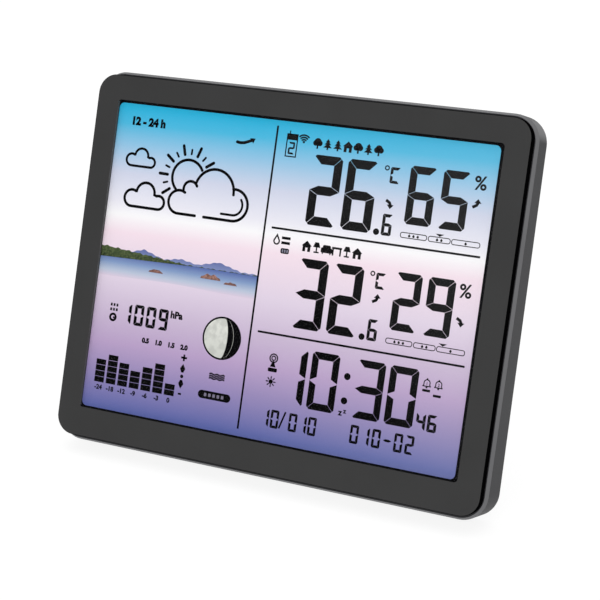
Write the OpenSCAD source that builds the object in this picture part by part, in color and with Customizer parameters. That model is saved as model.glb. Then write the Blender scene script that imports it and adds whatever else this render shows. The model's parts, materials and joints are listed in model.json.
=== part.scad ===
// Home weather station console: a leaning colour display on a fold-out rear stand.
// X runs along the width, Y from front to back and Z up from the table.

/* [Front plate] */
// Width of the front plate
plate_w = 192.5; // [180:0.5:215]
// Height of the front plate along its face
plate_h = 154.4; // [150:0.2:175]
// Corner radius of the front plate
plate_r = 8; // [6:0.25:12]
// Thickness of the grey bezel
bezel_t = 1.2; // [1:0.1:2.4]
// Bevel on the bezel's front edge
bezel_bevel = 0.2; // [0.1:0.1:0.8]
// Depth of the black neck behind the bezel
neck_t = 2.8; // [2.6:0.1:5]

/* [Display] */
// Width of the bezel's side borders
border_side = 10.2; // [9.9:0.1:18]
// Width of the bezel's top border
border_top = 10.3; // [9:0.1:18]
// Width of the bezel's bottom border
border_bottom = 12.5; // [10:0.1:20]
// Corner radius of the display opening
window_r = 1.5; // [1:0.1:4]
// Lap of the clear pane behind the bezel
pane_lap = 1.7; // [1.4:0.1:2]
// Thickness of the foam gasket
gasket_t = 0.3; // [0.2:0.1:0.6]
// Thickness of the clear pane
pane_t = 1; // [0.8:0.1:1.4]
// Thickness of the LCD glass
lcd_t = 2; // [1.6:0.1:2.4]
// Thickness of the colour film
film_t = 0.25; // [0.15:0.05:0.4]
// Thickness of the light guide
guide_t = 1.5; // [1.2:0.1:2]
// Thickness of the reflector sheet
reflector_t = 0.2; // [0.1:0.05:0.3]
// Wall of the chassis tray
tray_t = 0.8; // [0.6:0.1:1]

/* [Case] */
// How far the case widens at each side over its front bevel
case_flare = 1; // [0.8:0.05:1.4]
// How far the case's front edge stands outside the neck
case_step = 0.4; // [0:0.05:0.8]
// Extra roundness of the case's corners, next to the plate's
case_ease = 1.35; // [0:0.05:2]
// How far the case stands out above the plate
case_crown = 1.75; // [1.4:0.05:2.4]
// How far the case stands out below the plate
case_sill = 2.3; // [1.4:0.05:2.6]
// Depth of the case's front bevel
case_bevel = 1.9; // [1:0.1:2.5]
// Depth of the side wall at the top
side_top = 9.6; // [9.4:0.1:14]
// Depth of the side wall at the bottom
side_bottom = 13.9; // [12.6:0.1:18]
// Wall of the case
case_wall = 2; // [1.6:0.1:2.4]
// Inward lip of the case behind the front frame
lip_w = 1; // [0.6:0.1:1.2]
// Thickness of the rear cover
cover_t = 2; // [1.6:0.1:2.4]
// Angle at which the console leans back
lean = 17.84; // [14:0.1:20]

/* [Rear housing] */
// Room beside the battery bay inside the housing
hump_side_room = 12.75; // [12:0.25:24]
// Room between the battery bay and the housing's top
hump_head_room = 11; // [9:0.5:14]
// Height of the raised housing's bottom edge
hump_bottom = 8; // [7:0.5:12]
// Room between the cells and the battery door
door_room = 1.65; // [1.5:0.05:4]
// Corner radius of the housing
hump_r = 6; // [4:0.5:9]
// Bevel on the housing's rear edge
hump_bevel = 1; // [0.6:0.1:1.6]
// Wall of the housing
hump_wall = 2; // [1.6:0.1:2.4]

/* [Stand] */
// Height of the stand's hinge above the case's bottom
pivot_z = 64; // [56:0.5:66]
// Angle of the open stand from the vertical
splay = 15.2; // [10:0.2:18]
// Width of the stand
stand_w = 46; // [36:1:50]
// Thickness of the stand
stand_t = 4; // [3.4:0.1:4.4]
// Radius of the stand's hinge barrel
barrel_r = 2.6; // [2.4:0.1:2.8]
// Radius of the hinge pin
pin_r = 1.25; // [1:0.05:1.5]
// Depth to which the hinge pin enters each side wall
pin_grip = 4; // [3:0.5:6]

/* [Feet] */
// Width of each base foot
foot_w = 16; // [10:1:30]
// Height of each base foot on the rear face
foot_h = 6; // [4:0.5:7]
// Depth of each base foot behind the rear face
foot_d = 4; // [3:0.1:6]
// Distance from the middle to each base foot's centre
foot_x = 68; // [60:1:78]
// How far the feet lift the case's rear edge off the table
foot_proud = 0.4; // [0.3:0.05:1]

/* [Batteries] */
// Radius of a cell
cell_r = 5.15; // [5:0.05:5.25]
// Length of a cell without its nub
cell_l = 43.7; // [42:0.1:44]
// Distance between neighbouring cells' centres
cell_pitch = 11; // [10.8:0.1:11.4]
// Space for a contact at each end of a cell
contact_space = 3; // [2.6:0.1:3.4]
// Thickness of the battery door
door_t = 2; // [1.8:0.1:2.2]
// How far the battery door covers the wall on each side of the bay
door_lap = 5.75; // [4:0.25:7]
// How far a door tongue reaches into its groove
tongue_w = 1.5; // [1:0.1:2]
// Thickness of a door tongue
tongue_t = 0.7; // [0.6:0.1:0.8]

/* [Keys] */
// Width of a rear key
key_w = 11; // [8:0.5:13]
// Height of a rear key
key_h = 6; // [5:0.5:8]
// How far a rear key stands out of the cover
key_proud = 1.2; // [0.8:0.1:1.6]
// Distance between neighbouring keys' centres
key_pitch = 16; // [15:0.5:18]
// Distance from the middle to the first key's centre
key_first = 22; // [18:0.5:26]
// Distance from the case's top to the keys' centres
key_drop = 19; // [16:0.5:22]
// Travel of the keys and of the snooze bar
key_travel = 0.6; // [0.3:0.05:0.7]
// Width of the snooze bar
bar_w = 60; // [30:1:90]
// Depth of the snooze bar
bar_d = 4; // [3.4:0.1:4.4]

/* [Openings] */
// Radius of the wall hook hole
hook_r = 4; // [3.5:0.1:5]
// Radius of the wall hook slot
hook_slot_r = 2; // [1.5:0.1:2.2]
// Length of the wall hook slot above the hole's centre
hook_slot_l = 9; // [7:0.5:11]
// Distance from the case's top to the hook hole's centre
hook_drop = 24; // [22:0.5:26]
// Number of vent slots on each side
vent_count = 6; // [3:1:8]
// Radius of the power socket's barrel
socket_r = 2.85; // [2.5:0.05:3]
// Radius of the power socket's centre pin
socket_pin_r = 1; // [0.8:0.05:1.2]

/* [Fasteners] */
// Radius of the screw shanks
screw_r = 0.95; // [0.8:0.05:1.05]
// Radius of the screw heads
head_r = 1.9; // [1.6:0.05:2.1]
// Thickness of the screw heads
head_t = 0.8; // [0.6:0.05:1]
// Radius of the screw bosses
boss_r = 2.4; // [2.1:0.05:2.5]

/* [Board] */
// Width of the main board
board_w = 140; // [130:1:150]
// Height of the main board's lower edge
board_bottom = 22; // [20:0.5:24]
// Distance from the case's top to the main board's upper edge
board_drop = 11.5; // [10:0.5:13]
// Thickness of the main board
board_t = 1.2; // [1:0.1:1.4]
// Space between the board and the rear cover
board_gap = 3.4; // [3.2:0.1:3.6]

/* [Hidden] */
$fn = 64;

// Gap between pieces that stay still
fit_gap = 0.15;
// Gap between pieces that move past each other
slide_gap = 0.3;
// Gap between stacked layers
layer_gap = 0.05;
// Radial clearance round pins and screws
pin_gap = 0.05;
// How far a cutting shape passes the face it cuts
over = 1;
// Size of the blocks that cut away one side of a plane
far = 400;

// Case, measured from the bezel's front face and the case's bottom edge
case_w = plate_w + 2 * (case_step + case_flare);
case_h = plate_h + case_crown + case_sill;
case_r = plate_r + case_step + case_flare + case_ease;
case_front = bezel_t + neck_t;
side_front = case_front + case_bevel;
rear_bottom = side_front + side_bottom;
rear_top = side_front + side_top;
cavity_w = case_w - 2 * case_wall;
cavity_h = case_h - 2 * case_wall;
cavity_r = case_r - case_wall;
mid_z = case_h / 2;
plate_z = case_sill + plate_h / 2;
wedge = atan((rear_bottom - rear_top) / case_h);
tilt = lean - wedge;

// Display stack, front to back
window_w = plate_w - 2 * border_side;
window_h = plate_h - border_top - border_bottom;
window_z = case_sill + border_bottom + window_h / 2;
pane_w = window_w + 2 * pane_lap;
pane_h = window_h + 2 * pane_lap;
pane_bottom = window_z - pane_h / 2;
pane_top = window_z + pane_h / 2;
pane_y = bezel_t + gasket_t;
lcd_y = pane_y + pane_t + layer_gap;
film_y = lcd_y + lcd_t + layer_gap;
guide_y = film_y + film_t + layer_gap;
reflector_y = guide_y + guide_t + layer_gap;
tray_y = reflector_y + reflector_t + layer_gap;
tray_w = pane_w + 2 * (fit_gap + tray_t);
tray_h = pane_h + 2 * (fit_gap + tray_t);
stack_r = 1;
ledge_h = 3.4;
led_space = 1.8;
guide_bottom = pane_bottom + ledge_h;
guide_top = pane_top - led_space;
guide_z = (guide_bottom + guide_top) / 2;
strip_t = 0.8;
led_count = 10;
led_w = 3;
led_t = 0.7;
led_inset = 0.15;
strip_w = pane_w - 24;

// Screw bosses of the front frame
boss_x = tray_w / 2 + fit_gap + boss_r;
boss_inset = 14;
boss_heights = [boss_inset, mid_z, case_h - boss_inset];
boss_root = 1;
pilot_l = 7;
hole_r = screw_r + pin_gap;
head_sink = 0.2;

// Depth of the cover's outer face at a height, and of a cover screw's seat
function rear_at(z) = rear_bottom - z * tan(wedge);
function head_seat(z) = rear_at(z) - head_sink - head_t;

// Board, measured from the rear cover's outer face
board_top = case_h - board_drop;
board_face = -cover_t - board_gap;
board_screw_x = board_w / 2 - 5;
board_screw_inset = 6;
board_screw_heights = [board_bottom + board_screw_inset, board_top - board_screw_inset];
board_boss_r = 2.2;

// Flexible cable from the glass to the board
flex_w = 36;
flex_t = 0.2;
flex_up = 4;
flex_z = pane_bottom + 1.6;
flex_end = board_bottom + flex_up;
flex_y = rear_at(flex_end) + board_face - board_t - layer_gap;

// Depth of the housing behind the rear cover's outer face
cell_y = cell_r + layer_gap;
door_y = cell_y + cell_r + door_room;
hump_d = door_y + door_t;

// Stand, measured from the rear cover's outer face
pivot_y = hump_d - barrel_r;
pad_r = stand_t / 2;
recess_floor = pivot_y - barrel_r - slide_gap;
recess_top = pivot_z + barrel_r + slide_gap;
recess_half = stand_w / 2 + slide_gap;
pin_half = recess_half + pin_grip;
pin_end_wall = 1.5;
pivot_height = foot_proud - pivot_y * sin(tilt) + pivot_z * cos(tilt);
stand_l = (pivot_height - pad_r) / cos(splay);
open_angle = tilt + splay;

// Place of the whole console on the table
pivot_back = rear_bottom * cos(lean) + pivot_y * cos(tilt) + pivot_z * sin(tilt);
stand_back = pivot_back + stand_l * sin(splay) + pad_r;
top_back = rear_top * cos(lean) + case_h * sin(lean);
front_edge = (case_sill + bezel_bevel) * sin(lean);
middle_y = (front_edge + max(stand_back, top_back)) / 2;
floor_z = rear_bottom * sin(lean) + foot_proud;

// Battery bay and door
nub_l = 0.8;
nub_r = 1.9;
bay_w = cell_l + nub_l + 2 * contact_space;
bay_gap = 0.2;
cell_count = 3;
divider_t = 3;
door_end_lap = 3;
door_bottom = recess_top + divider_t + slide_gap;
bay_bottom = door_bottom + door_end_lap;
cell_z = bay_bottom + bay_gap + cell_pitch / 2;
bay_top = bay_bottom + cell_count * cell_pitch + 2 * bay_gap;
hump_top = bay_top + hump_head_room;
door_top = hump_top - hump_bevel;
door_half = bay_w / 2 + door_lap;
hump_w = bay_w + 2 * (hump_wall + hump_side_room + hump_wall);
hump_mid = (hump_top + hump_bottom) / 2;
groove_half = door_half + slide_gap + tongue_w;
groove_wall = 1.2;
contact_t = 0.4;
contact_w = 8;
contact_h = 8;
tail_w = 2;
tail_gap = 0.3;

// Keys and snooze bar
key_r = 2.4;
key_bevel = 0.4;
flange_w = 1.2;
flange_t = 0.7;
stem_r = 1.2;
press_gap = 0.1;
tact_w = 4.5;
tact_t = 1.2;
plunger_t = 0.4;
plunger_r = 1;
key_z = case_h - key_drop;
key_seat = -cover_t - layer_gap;
key_end = board_face + tact_t + plunger_t + key_travel + press_gap;
key_steps = [for (i = [0:2]) key_first + i * key_pitch];
bar_set = 6.2;
bar_y = case_front + bar_set;
bar_r = 1.4;
bar_flange_w = 0.8;
bar_seat = case_h - case_wall - layer_gap;
bar_stem_x = 12;
bar_stem_w = 4;
bar_plunger_h = 1;
bar_end = board_top + bar_plunger_h + key_travel + press_gap;

// Power socket in the housing's side wall
jack_l = hump_side_room - 1.75;
jack_s = 9;
jack_y = 5.4;
jack_z = 92;
jack_x = hump_w / 2 - hump_wall;
jack_pin_l = 8;
jack_depth = 9;
jack_leg_r = 0.5;
jack_leg_places = [3, 8];

// Vents
vent_w = 2.2;
vent_h = 18;
vent_pitch = 5;
vent_x = 62;
vent_z = 40;

// Parts on the board
chip_x = 0;
chip_z = 50;
chip_w = 14;
chip_t = 1.4;
chip_legs = 12;
chip_leg_w = 0.5;
chip_leg_l = 1.2;
chip_leg_t = 0.3;
sensor_w = 5;
sensor_t = 1.2;
sensor_port_r = 0.6;
pressure_x = -40;
pressure_z = 60;
climate_x = -62;
climate_z = 40;
climate_t = 1.6;
climate_slot = 0.9;
climate_pitch = 1.8;
climate_rim = 0.5;
radio_x = 55;
radio_z = 60;
radio_w = 22;
radio_h = 14;
radio_t = 1;
can_w = 12;
can_h = 9;
can_t = 1.6;
wire_r = 0.5;
antenna_room = 11.5;
antenna_l = key_z - antenna_room - radio_z - radio_h / 2;
buzzer_x = 40;
buzzer_z = 40;
buzzer_r = 6;
buzzer_t = 2.6;
buzzer_port_r = 1;
side_switch_t = 2.8;

// Details of the contacts, door, stand and screws
leaf_h = 3;
grip_count = 4;
grip_start = 4;
grip_pitch = 2;
grip_w = 24;
grip_d = 0.5;
stand_rim = 3;
stand_hollow_top = 8;
stand_hollow_r = 2;
stand_web = 1.6;
stand_grip_up = 6;
drive_r = 0.9;

// Shared shapes

// Flat outline with round corners
module rounded_rect(w, h, r) {
    square([w - 2 * r, h], center = true);
    square([w, h - 2 * r], center = true);
    for (x = [-1, 1], y = [-1, 1])
        translate([x * (w / 2 - r), y * (h / 2 - r)]) circle(r);
}

// Bevelled end on a rounded outline, narrowing by b over a height d
module bevel_end(w, h, r, b, d) {
    for (x = [-1, 1], y = [-1, 1])
        translate([x * (w / 2 - r), y * (h / 2 - r), 0]) cylinder(h = d, r1 = r, r2 = r - b);
    rotate([90, 0, 90]) linear_extrude(w - 2 * r, center = true)
        polygon([[-h / 2, 0], [h / 2, 0], [h / 2 - b, d], [b - h / 2, d]]);
    rotate([90, 0, 0]) linear_extrude(h - 2 * r, center = true)
        polygon([[-w / 2, 0], [w / 2, 0], [w / 2 - b, d], [b - w / 2, d]]);
}

// Upright slab with round corners between two depths, centred at a height
module slab(w, h, r, y0, y1, z) {
    translate([0, y1, z]) rotate([90, 0, 0]) linear_extrude(y1 - y0) rounded_rect(w, h, r);
}

// Upright slab whose front end is bevelled
module front_bevel_slab(w, h, r, y0, y1, z, b, d) {
    slab(w, h, r, y0 + d, y1, z);
    translate([0, y0 + d, z]) rotate([90, 0, 0]) bevel_end(w, h, r, b, d);
}

// Upright slab whose rear end is bevelled
module rear_bevel_slab(w, h, r, y0, y1, z, b, d) {
    slab(w, h, r, y0, y1 - d, z);
    translate([0, y1 - d, z]) rotate([-90, 0, 0]) bevel_end(w, h, r, b, d);
}

// Block given by its lowest and highest corners
module block(low, high) {
    translate(low) cube(high - low);
}

// Round bar along the depth
module rod_y(r, y0, y1, x, z) {
    translate([x, y1, z]) rotate([90, 0, 0]) cylinder(h = y1 - y0, r = r);
}

// Round bar along the width
module rod_x(r, x0, x1, y, z) {
    translate([x0, y, z]) rotate([0, 90, 0]) cylinder(h = x1 - x0, r = r);
}

// Frames of reference

// The whole console leaning back on the table
module standing() {
    translate([0, -middle_y, floor_z]) rotate([-lean, 0, 0]) children();
}

// Measured from the rear cover's outer face, which is tilted by the case's taper
module rear_frame() {
    translate([0, rear_bottom, 0]) rotate([wedge, 0, 0]) children();
}

// Everything behind a depth of the rear frame
module behind(y) {
    rear_frame() block([-far, y, -far], [far, y + far, far]);
}

// On the rear face of the main board
module on_board(x, z) {
    standing() rear_frame() translate([x, board_face, z]) children();
}

// Front of the console

module front_bezel() {
    color("#3f3f41") standing() difference() {
        front_bevel_slab(plate_w, plate_h, plate_r, 0, bezel_t, plate_z, bezel_bevel, bezel_bevel);
        slab(window_w, window_h, window_r, -over, bezel_t + over, window_z);
    }
}

module frame_boss(x, z) {
    difference() {
        rod_y(boss_r, case_front - boss_root, rear_bottom, x, z);
        rod_y(hole_r, rear_at(z) - cover_t - pilot_l, rear_bottom, x, z);
    }
}

module front_frame() {
    color("#0c0c0d") standing() difference() {
        union() {
            difference() {
                slab(plate_w, plate_h, plate_r, bezel_t, case_front, plate_z);
                slab(
                    pane_w + 2 * fit_gap, pane_h + 2 * fit_gap, stack_r,
                    bezel_t - over, lcd_y, window_z
                );
                slab(
                    tray_w + 2 * fit_gap, tray_h + 2 * fit_gap, stack_r,
                    lcd_y, case_front + over, window_z
                );
            }
            for (side = [-1, 1], z = boss_heights) frame_boss(side * boss_x, z);
        }
        behind(-cover_t - layer_gap);
    }
}

module window_gasket() {
    color("#101012") standing() difference() {
        slab(pane_w, pane_h, stack_r, bezel_t, pane_y, window_z);
        slab(window_w, window_h, window_r, bezel_t - over, pane_y + over, window_z);
    }
}

module display_window() {
    color("#dfe8ee", 0.35) standing() slab(pane_w, pane_h, stack_r, pane_y, pane_y + pane_t, window_z);
}

module lcd_panel() {
    color("#b9a9d8") standing() slab(pane_w, pane_h, stack_r, lcd_y, lcd_y + lcd_t, window_z);
}

module stack_sheet(y, t) {
    slab(pane_w, guide_top - guide_bottom, stack_r, y, y + t, guide_z);
}

module color_film() {
    color("#8fb7e6") standing() stack_sheet(film_y, film_t);
}

module light_guide() {
    color("#eef3f6") standing() stack_sheet(guide_y, guide_t);
}

module reflector_sheet() {
    color("white") standing() stack_sheet(reflector_y, reflector_t);
}

module backlight_strip() {
    color("#e8e4c8") standing() {
        block([-strip_w / 2, guide_y, pane_top - strip_t], [strip_w / 2, guide_y + guide_t, pane_top]);
        for (i = [0:led_count - 1])
            translate([(i + 0.5) * strip_w / led_count - strip_w / 2, 0, pane_top - strip_t - led_t])
                block(
                    [-led_w / 2, guide_y + led_inset, 0],
                    [led_w / 2, guide_y + guide_t - led_inset, led_t]
                );
    }
}

module display_chassis() {
    color("#d8d8d4") standing() difference() {
        slab(tray_w, tray_h, stack_r, lcd_y, tray_y + tray_t, window_z);
        slab(pane_w + 2 * fit_gap, pane_h + 2 * fit_gap, stack_r, lcd_y - over, tray_y, window_z);
        block(
            [-flex_w / 2 - fit_gap, tray_y - over, flex_z - 3 * flex_t],
            [flex_w / 2 + fit_gap, tray_y + tray_t + over, flex_z + 4 * flex_t]
        );
    }
}

module display_flex() {
    color("#c8862c") standing() rotate([90, 0, 90]) linear_extrude(flex_w, center = true) polygon([
        [lcd_y + lcd_t, flex_z],
        [flex_y, flex_z],
        [flex_y, flex_end],
        [flex_y - flex_t, flex_end],
        [flex_y - flex_t, flex_z + flex_t],
        [lcd_y + lcd_t, flex_z + flex_t]
    ]);
}

// Case and rear cover

module case_shell() {
    color("#4f5052") standing() difference() {
        front_bevel_slab(
            case_w, case_h, case_r, case_front, rear_bottom + over, mid_z, case_flare, case_bevel
        );
        slab(cavity_w, cavity_h, cavity_r, side_front, rear_bottom + 2 * over, mid_z);
        slab(
            cavity_w - 2 * lip_w, cavity_h - 2 * lip_w, cavity_r - lip_w,
            case_front - over, side_front + over, mid_z
        );
        translate([0, bar_y, case_h - case_wall - over]) linear_extrude(case_wall + 2 * over)
            rounded_rect(bar_w + 2 * slide_gap, bar_d + 2 * slide_gap, bar_r + slide_gap);
        behind(0);
    }
}

// Inside of the raised housing, left hollow round the stand, bay and door seats
module hump_hollow() {
    difference() {
        slab(
            hump_w - 2 * hump_wall, hump_top - hump_bottom - 2 * hump_wall, hump_r - hump_wall,
            -cover_t - over, hump_d - hump_wall, hump_mid
        );
        block(
            [-pin_half - pin_end_wall, recess_floor - hump_wall, hump_bottom],
            [pin_half + pin_end_wall, hump_d, recess_top + hump_wall]
        );
        block(
            [-bay_w / 2 - hump_wall, -cover_t - over, bay_bottom - hump_wall],
            [bay_w / 2 + hump_wall, hump_d, bay_top + hump_wall]
        );
        block(
            [-groove_half - groove_wall, door_y - slide_gap - groove_wall, recess_top],
            [groove_half + groove_wall, hump_d, hump_top]
        );
    }
}

module door_seat() {
    block(
        [-door_half - slide_gap, door_y - slide_gap, door_bottom - slide_gap],
        [door_half + slide_gap, hump_d + over, hump_top + over]
    );
    block(
        [-groove_half - slide_gap, door_y - slide_gap, door_bottom - slide_gap],
        [groove_half + slide_gap, door_y + tongue_t + slide_gap, hump_top + over]
    );
}

module hook_hole() {
    translate([0, over, case_h - hook_drop]) rotate([90, 0, 0]) linear_extrude(cover_t + 2 * over) {
        circle(hook_r);
        translate([-hook_slot_r, 0]) square([2 * hook_slot_r, hook_slot_l]);
        translate([0, hook_slot_l]) circle(hook_slot_r);
    }
}

module vent_slots() {
    for (side = [-1, 1], i = [0:vent_count - 1])
        translate([side * (vent_x + i * vent_pitch), 0, 0])
            slab(vent_w, vent_h, vent_w / 2 - layer_gap, -cover_t - over, over, vent_z);
}

module key_holes() {
    for (side = [-1, 1], x = key_steps)
        translate([side * x, 0, 0])
            slab(
                key_w + 2 * slide_gap, key_h + 2 * slide_gap, key_r + slide_gap,
                -cover_t - over, over, key_z
            );
}

module tail_slots() {
    for (side = [-1, 1], i = [0:cell_count - 1])
        translate([side * (bay_w / 2 - contact_t / 2), 0, cell_z + i * cell_pitch])
            block(
                [-contact_t / 2 - tail_gap, -cover_t - over, -tail_w / 2 - tail_gap],
                [contact_t / 2 + tail_gap, over, tail_w / 2 + tail_gap]
            );
}

module rear_cover_body() {
    difference() {
        union() {
            slab(
                cavity_w - 2 * fit_gap, cavity_h - 2 * fit_gap, cavity_r - fit_gap,
                -cover_t, 0, mid_z
            );
            rear_bevel_slab(
                hump_w, hump_top - hump_bottom, hump_r, -cover_t, hump_d, hump_mid, hump_bevel, hump_bevel
            );
            for (side = [-1, 1], z = board_screw_heights)
                rod_y(board_boss_r, board_face, -cover_t + layer_gap, side * board_screw_x, z);
        }
        hump_hollow();
        block([-recess_half, recess_floor, hump_bottom - over], [recess_half, hump_d + over, recess_top]);
        block([-bay_w / 2, 0, bay_bottom], [bay_w / 2, hump_d + over, bay_top]);
        door_seat();
        rod_x(pin_r + pin_gap, -pin_half, pin_half, pivot_y, pivot_z);
        rod_x(socket_r + fit_gap, jack_x - over, hump_w / 2 + over, jack_y, jack_z);
        for (side = [-1, 1], z = board_screw_heights)
            rod_y(hole_r, board_face - over, -cover_t, side * board_screw_x, z);
        hook_hole();
        vent_slots();
        key_holes();
        tail_slots();
    }
}

module rear_cover() {
    color("#47484a") standing() difference() {
        rear_frame() rear_cover_body();
        for (side = [-1, 1], z = boss_heights) {
            rod_y(hole_r + fit_gap, 0, rear_bottom + over, side * boss_x, z);
            rod_y(head_r + fit_gap, head_seat(z), rear_bottom + over, side * boss_x, z);
        }
    }
}

// Electronics

module main_board() {
    color("#2f6b3c") standing() rear_frame() difference() {
        block([-board_w / 2, board_face - board_t, board_bottom], [board_w / 2, board_face, board_top]);
        for (side = [-1, 1], z = board_screw_heights)
            rod_y(
                hole_r + fit_gap, board_face - board_t - over, board_face + over,
                side * board_screw_x, z
            );
    }
}

module processor_chip() {
    color("#1b1b1d") on_board(chip_x, chip_z) {
        block([-chip_w / 2, 0, -chip_w / 2], [chip_w / 2, chip_t, chip_w / 2]);
        for (side = [-1, 1], i = [0:chip_legs - 1])
            translate([
                (i + 0.5) * chip_w / chip_legs - chip_w / 2, 0, side * (chip_w / 2 + chip_leg_l / 2)
            ])
                block(
                    [-chip_leg_w / 2, 0, -chip_leg_l / 2],
                    [chip_leg_w / 2, chip_leg_t, chip_leg_l / 2]
                );
    }
}

module pressure_sensor() {
    color("#b9bcc0") on_board(pressure_x, pressure_z) difference() {
        block([-sensor_w / 2, 0, -sensor_w / 2], [sensor_w / 2, sensor_t, sensor_w / 2]);
        rod_y(sensor_port_r, sensor_t / 2, sensor_t + over, 0, 0);
    }
}

module climate_sensor() {
    color("#e9e9e6") on_board(climate_x, climate_z) difference() {
        block([-sensor_w / 2, 0, -sensor_w], [sensor_w / 2, climate_t, sensor_w]);
        for (i = [-2:2])
            translate([0, 0, i * climate_pitch])
                block(
                    [climate_rim - sensor_w / 2, climate_t / 2, -climate_slot / 2],
                    [sensor_w / 2 - climate_rim, climate_t + over, climate_slot / 2]
                );
    }
}

module radio_module() {
    color("#27486f") on_board(radio_x, radio_z) {
        block([-radio_w / 2, 0, -radio_h / 2], [radio_w / 2, radio_t, radio_h / 2]);
        block([-can_w / 2, radio_t, -can_h / 2], [can_w / 2, radio_t + can_t, can_h / 2]);
    }
}

module antenna_wire() {
    color("#b87333") on_board(radio_x, radio_z + radio_h / 2)
        translate([0, wire_r + layer_gap, 0]) cylinder(h = antenna_l, r = wire_r);
}

module buzzer() {
    color("#17171a") on_board(buzzer_x, buzzer_z) difference() {
        rod_y(buzzer_r, 0, buzzer_t, 0, 0);
        rod_y(buzzer_port_r, buzzer_t / 2, buzzer_t + over, 0, 0);
    }
}

module dc_jack() {
    color("#141416") standing() rear_frame() {
        difference() {
            block(
                [jack_x - jack_l, jack_y - jack_s / 2, jack_z - jack_s / 2],
                [jack_x, jack_y + jack_s / 2, jack_z + jack_s / 2]
            );
            rod_x(socket_r, jack_x - jack_depth, jack_x + over, jack_y, jack_z);
        }
        rod_x(
            socket_pin_r, jack_x - jack_depth - layer_gap, jack_x - jack_depth + jack_pin_l,
            jack_y, jack_z
        );
        for (x = jack_leg_places)
            rod_y(jack_leg_r, board_face, jack_y - socket_r - layer_gap, jack_x - x, jack_z);
    }
}

module tact_switch() {
    block([-tact_w / 2, 0, -tact_w / 2], [tact_w / 2, tact_t, tact_w / 2]);
    rod_y(plunger_r, tact_t, tact_t + plunger_t, 0, 0);
}

module tact_switches() {
    color("#8d8f93") for (side = [-1, 1], x = key_steps) on_board(side * x, key_z) tact_switch();
}

module snooze_switch() {
    color("#8d8f93") on_board(bar_stem_x, board_top - tact_w) {
        block([-tact_w / 2, 0, 0], [tact_w / 2, side_switch_t, tact_w]);
        translate([0, side_switch_t / 2, tact_w]) cylinder(h = bar_plunger_h, r = plunger_r);
    }
}

// Keys

module rear_key(x) {
    color("#303134") standing() rear_frame() translate([x, 0, 0]) {
        rear_bevel_slab(key_w, key_h, key_r, key_seat, key_proud, key_z, key_bevel, key_bevel);
        slab(
            key_w + 2 * flange_w, key_h + 2 * flange_w, key_r + flange_w,
            key_seat - flange_t, key_seat, key_z
        );
        rod_y(stem_r, key_end, key_seat - flange_t, 0, key_z);
    }
}

module mode_key() { rear_key(-key_steps[2]); }
module alarm_key() { rear_key(-key_steps[1]); }
module channel_key() { rear_key(-key_steps[0]); }
module up_key() { rear_key(key_steps[0]); }
module down_key() { rear_key(key_steps[1]); }
module history_key() { rear_key(key_steps[2]); }

module snooze_bar() {
    color("#4f5052") standing() translate([0, bar_y, 0]) {
        translate([0, 0, bar_seat]) linear_extrude(case_h - bar_seat - key_bevel)
            rounded_rect(bar_w, bar_d, bar_r);
        translate([0, 0, case_h - key_bevel]) bevel_end(bar_w, bar_d, bar_r, key_bevel, key_bevel);
        translate([0, 0, bar_seat - flange_t]) linear_extrude(flange_t)
            rounded_rect(bar_w + 2 * bar_flange_w, bar_d + 2 * bar_flange_w, bar_r + bar_flange_w);
        block(
            [bar_stem_x - bar_stem_w / 2, -bar_d / 2, bar_end],
            [bar_stem_x + bar_stem_w / 2, bar_d / 2 + bar_flange_w, bar_seat - flange_t]
        );
    }
}

// Batteries

module battery_cell(i) {
    start = -(cell_l + nub_l) / 2;
    color("#c9962f") standing() rear_frame() translate([0, cell_y, cell_z + i * cell_pitch])
        mirror([i % 2, 0, 0]) {
            rod_x(cell_r, start, start + cell_l, 0, 0);
            rod_x(nub_r, start + cell_l, start + cell_l + nub_l, 0, 0);
        }
}

module battery_cell_lower() { battery_cell(0); }
module battery_cell_middle() { battery_cell(1); }
module battery_cell_upper() { battery_cell(2); }

// Contact plate on the bay's end wall with its tail down to the board
module contact_plate() {
    block([bay_w / 2 - contact_t, cell_y - contact_h / 2, -contact_w / 2],
        [bay_w / 2, cell_y + contact_h / 2, contact_w / 2]);
    block([bay_w / 2 - contact_t, board_face, -tail_w / 2], [bay_w / 2, cell_y, tail_w / 2]);
}

// Places of one kind of contact: springs meet the flat ends, plates the nubs
module at_contacts(spring) {
    standing() rear_frame() for (i = [0:cell_count - 1])
        translate([0, 0, cell_z + i * cell_pitch])
            mirror([((i % 2 == 0) == spring) ? 1 : 0, 0, 0]) children();
}

module battery_springs() {
    reach = contact_space - layer_gap;
    color("#c8ccd0") at_contacts(true) {
        contact_plate();
        translate([bay_w / 2 - contact_t, cell_y, 0]) rotate([-90, 0, 0])
            linear_extrude(contact_w / 2, center = true) polygon([
                [0, -leaf_h], [contact_t - reach, 0], [0, leaf_h],
                [0, leaf_h - 2 * contact_t], [2 * contact_t - reach, 0], [0, 2 * contact_t - leaf_h]
            ]);
    }
}

module battery_plates() {
    bump = contact_space - contact_t - layer_gap;
    color("#c8ccd0") at_contacts(false) {
        contact_plate();
        rod_x(nub_r, bay_w / 2 - contact_t - bump, bay_w / 2 - contact_t, cell_y, 0);
    }
}

module battery_door() {
    color("#3d3e40") standing() rear_frame() difference() {
        union() {
            block([-door_half, door_y, door_bottom], [door_half, hump_d, door_top]);
            block(
                [-door_half - tongue_w, door_y, door_bottom],
                [door_half + tongue_w, door_y + tongue_t, door_top]
            );
        }
        for (i = [0:grip_count - 1])
            translate([0, 0, door_bottom + grip_start + i * grip_pitch])
                block([-grip_w / 2, hump_d - grip_d, 0], [grip_w / 2, hump_d + over, grip_pitch / 2]);
    }
}

// Stand, feet and fasteners

// The open stand's own frame, with the hinge at its origin and the leg along -Z
module stand_frame() {
    standing() rear_frame() translate([0, pivot_y, pivot_z]) rotate([open_angle, 0, 0]) children();
}

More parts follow.
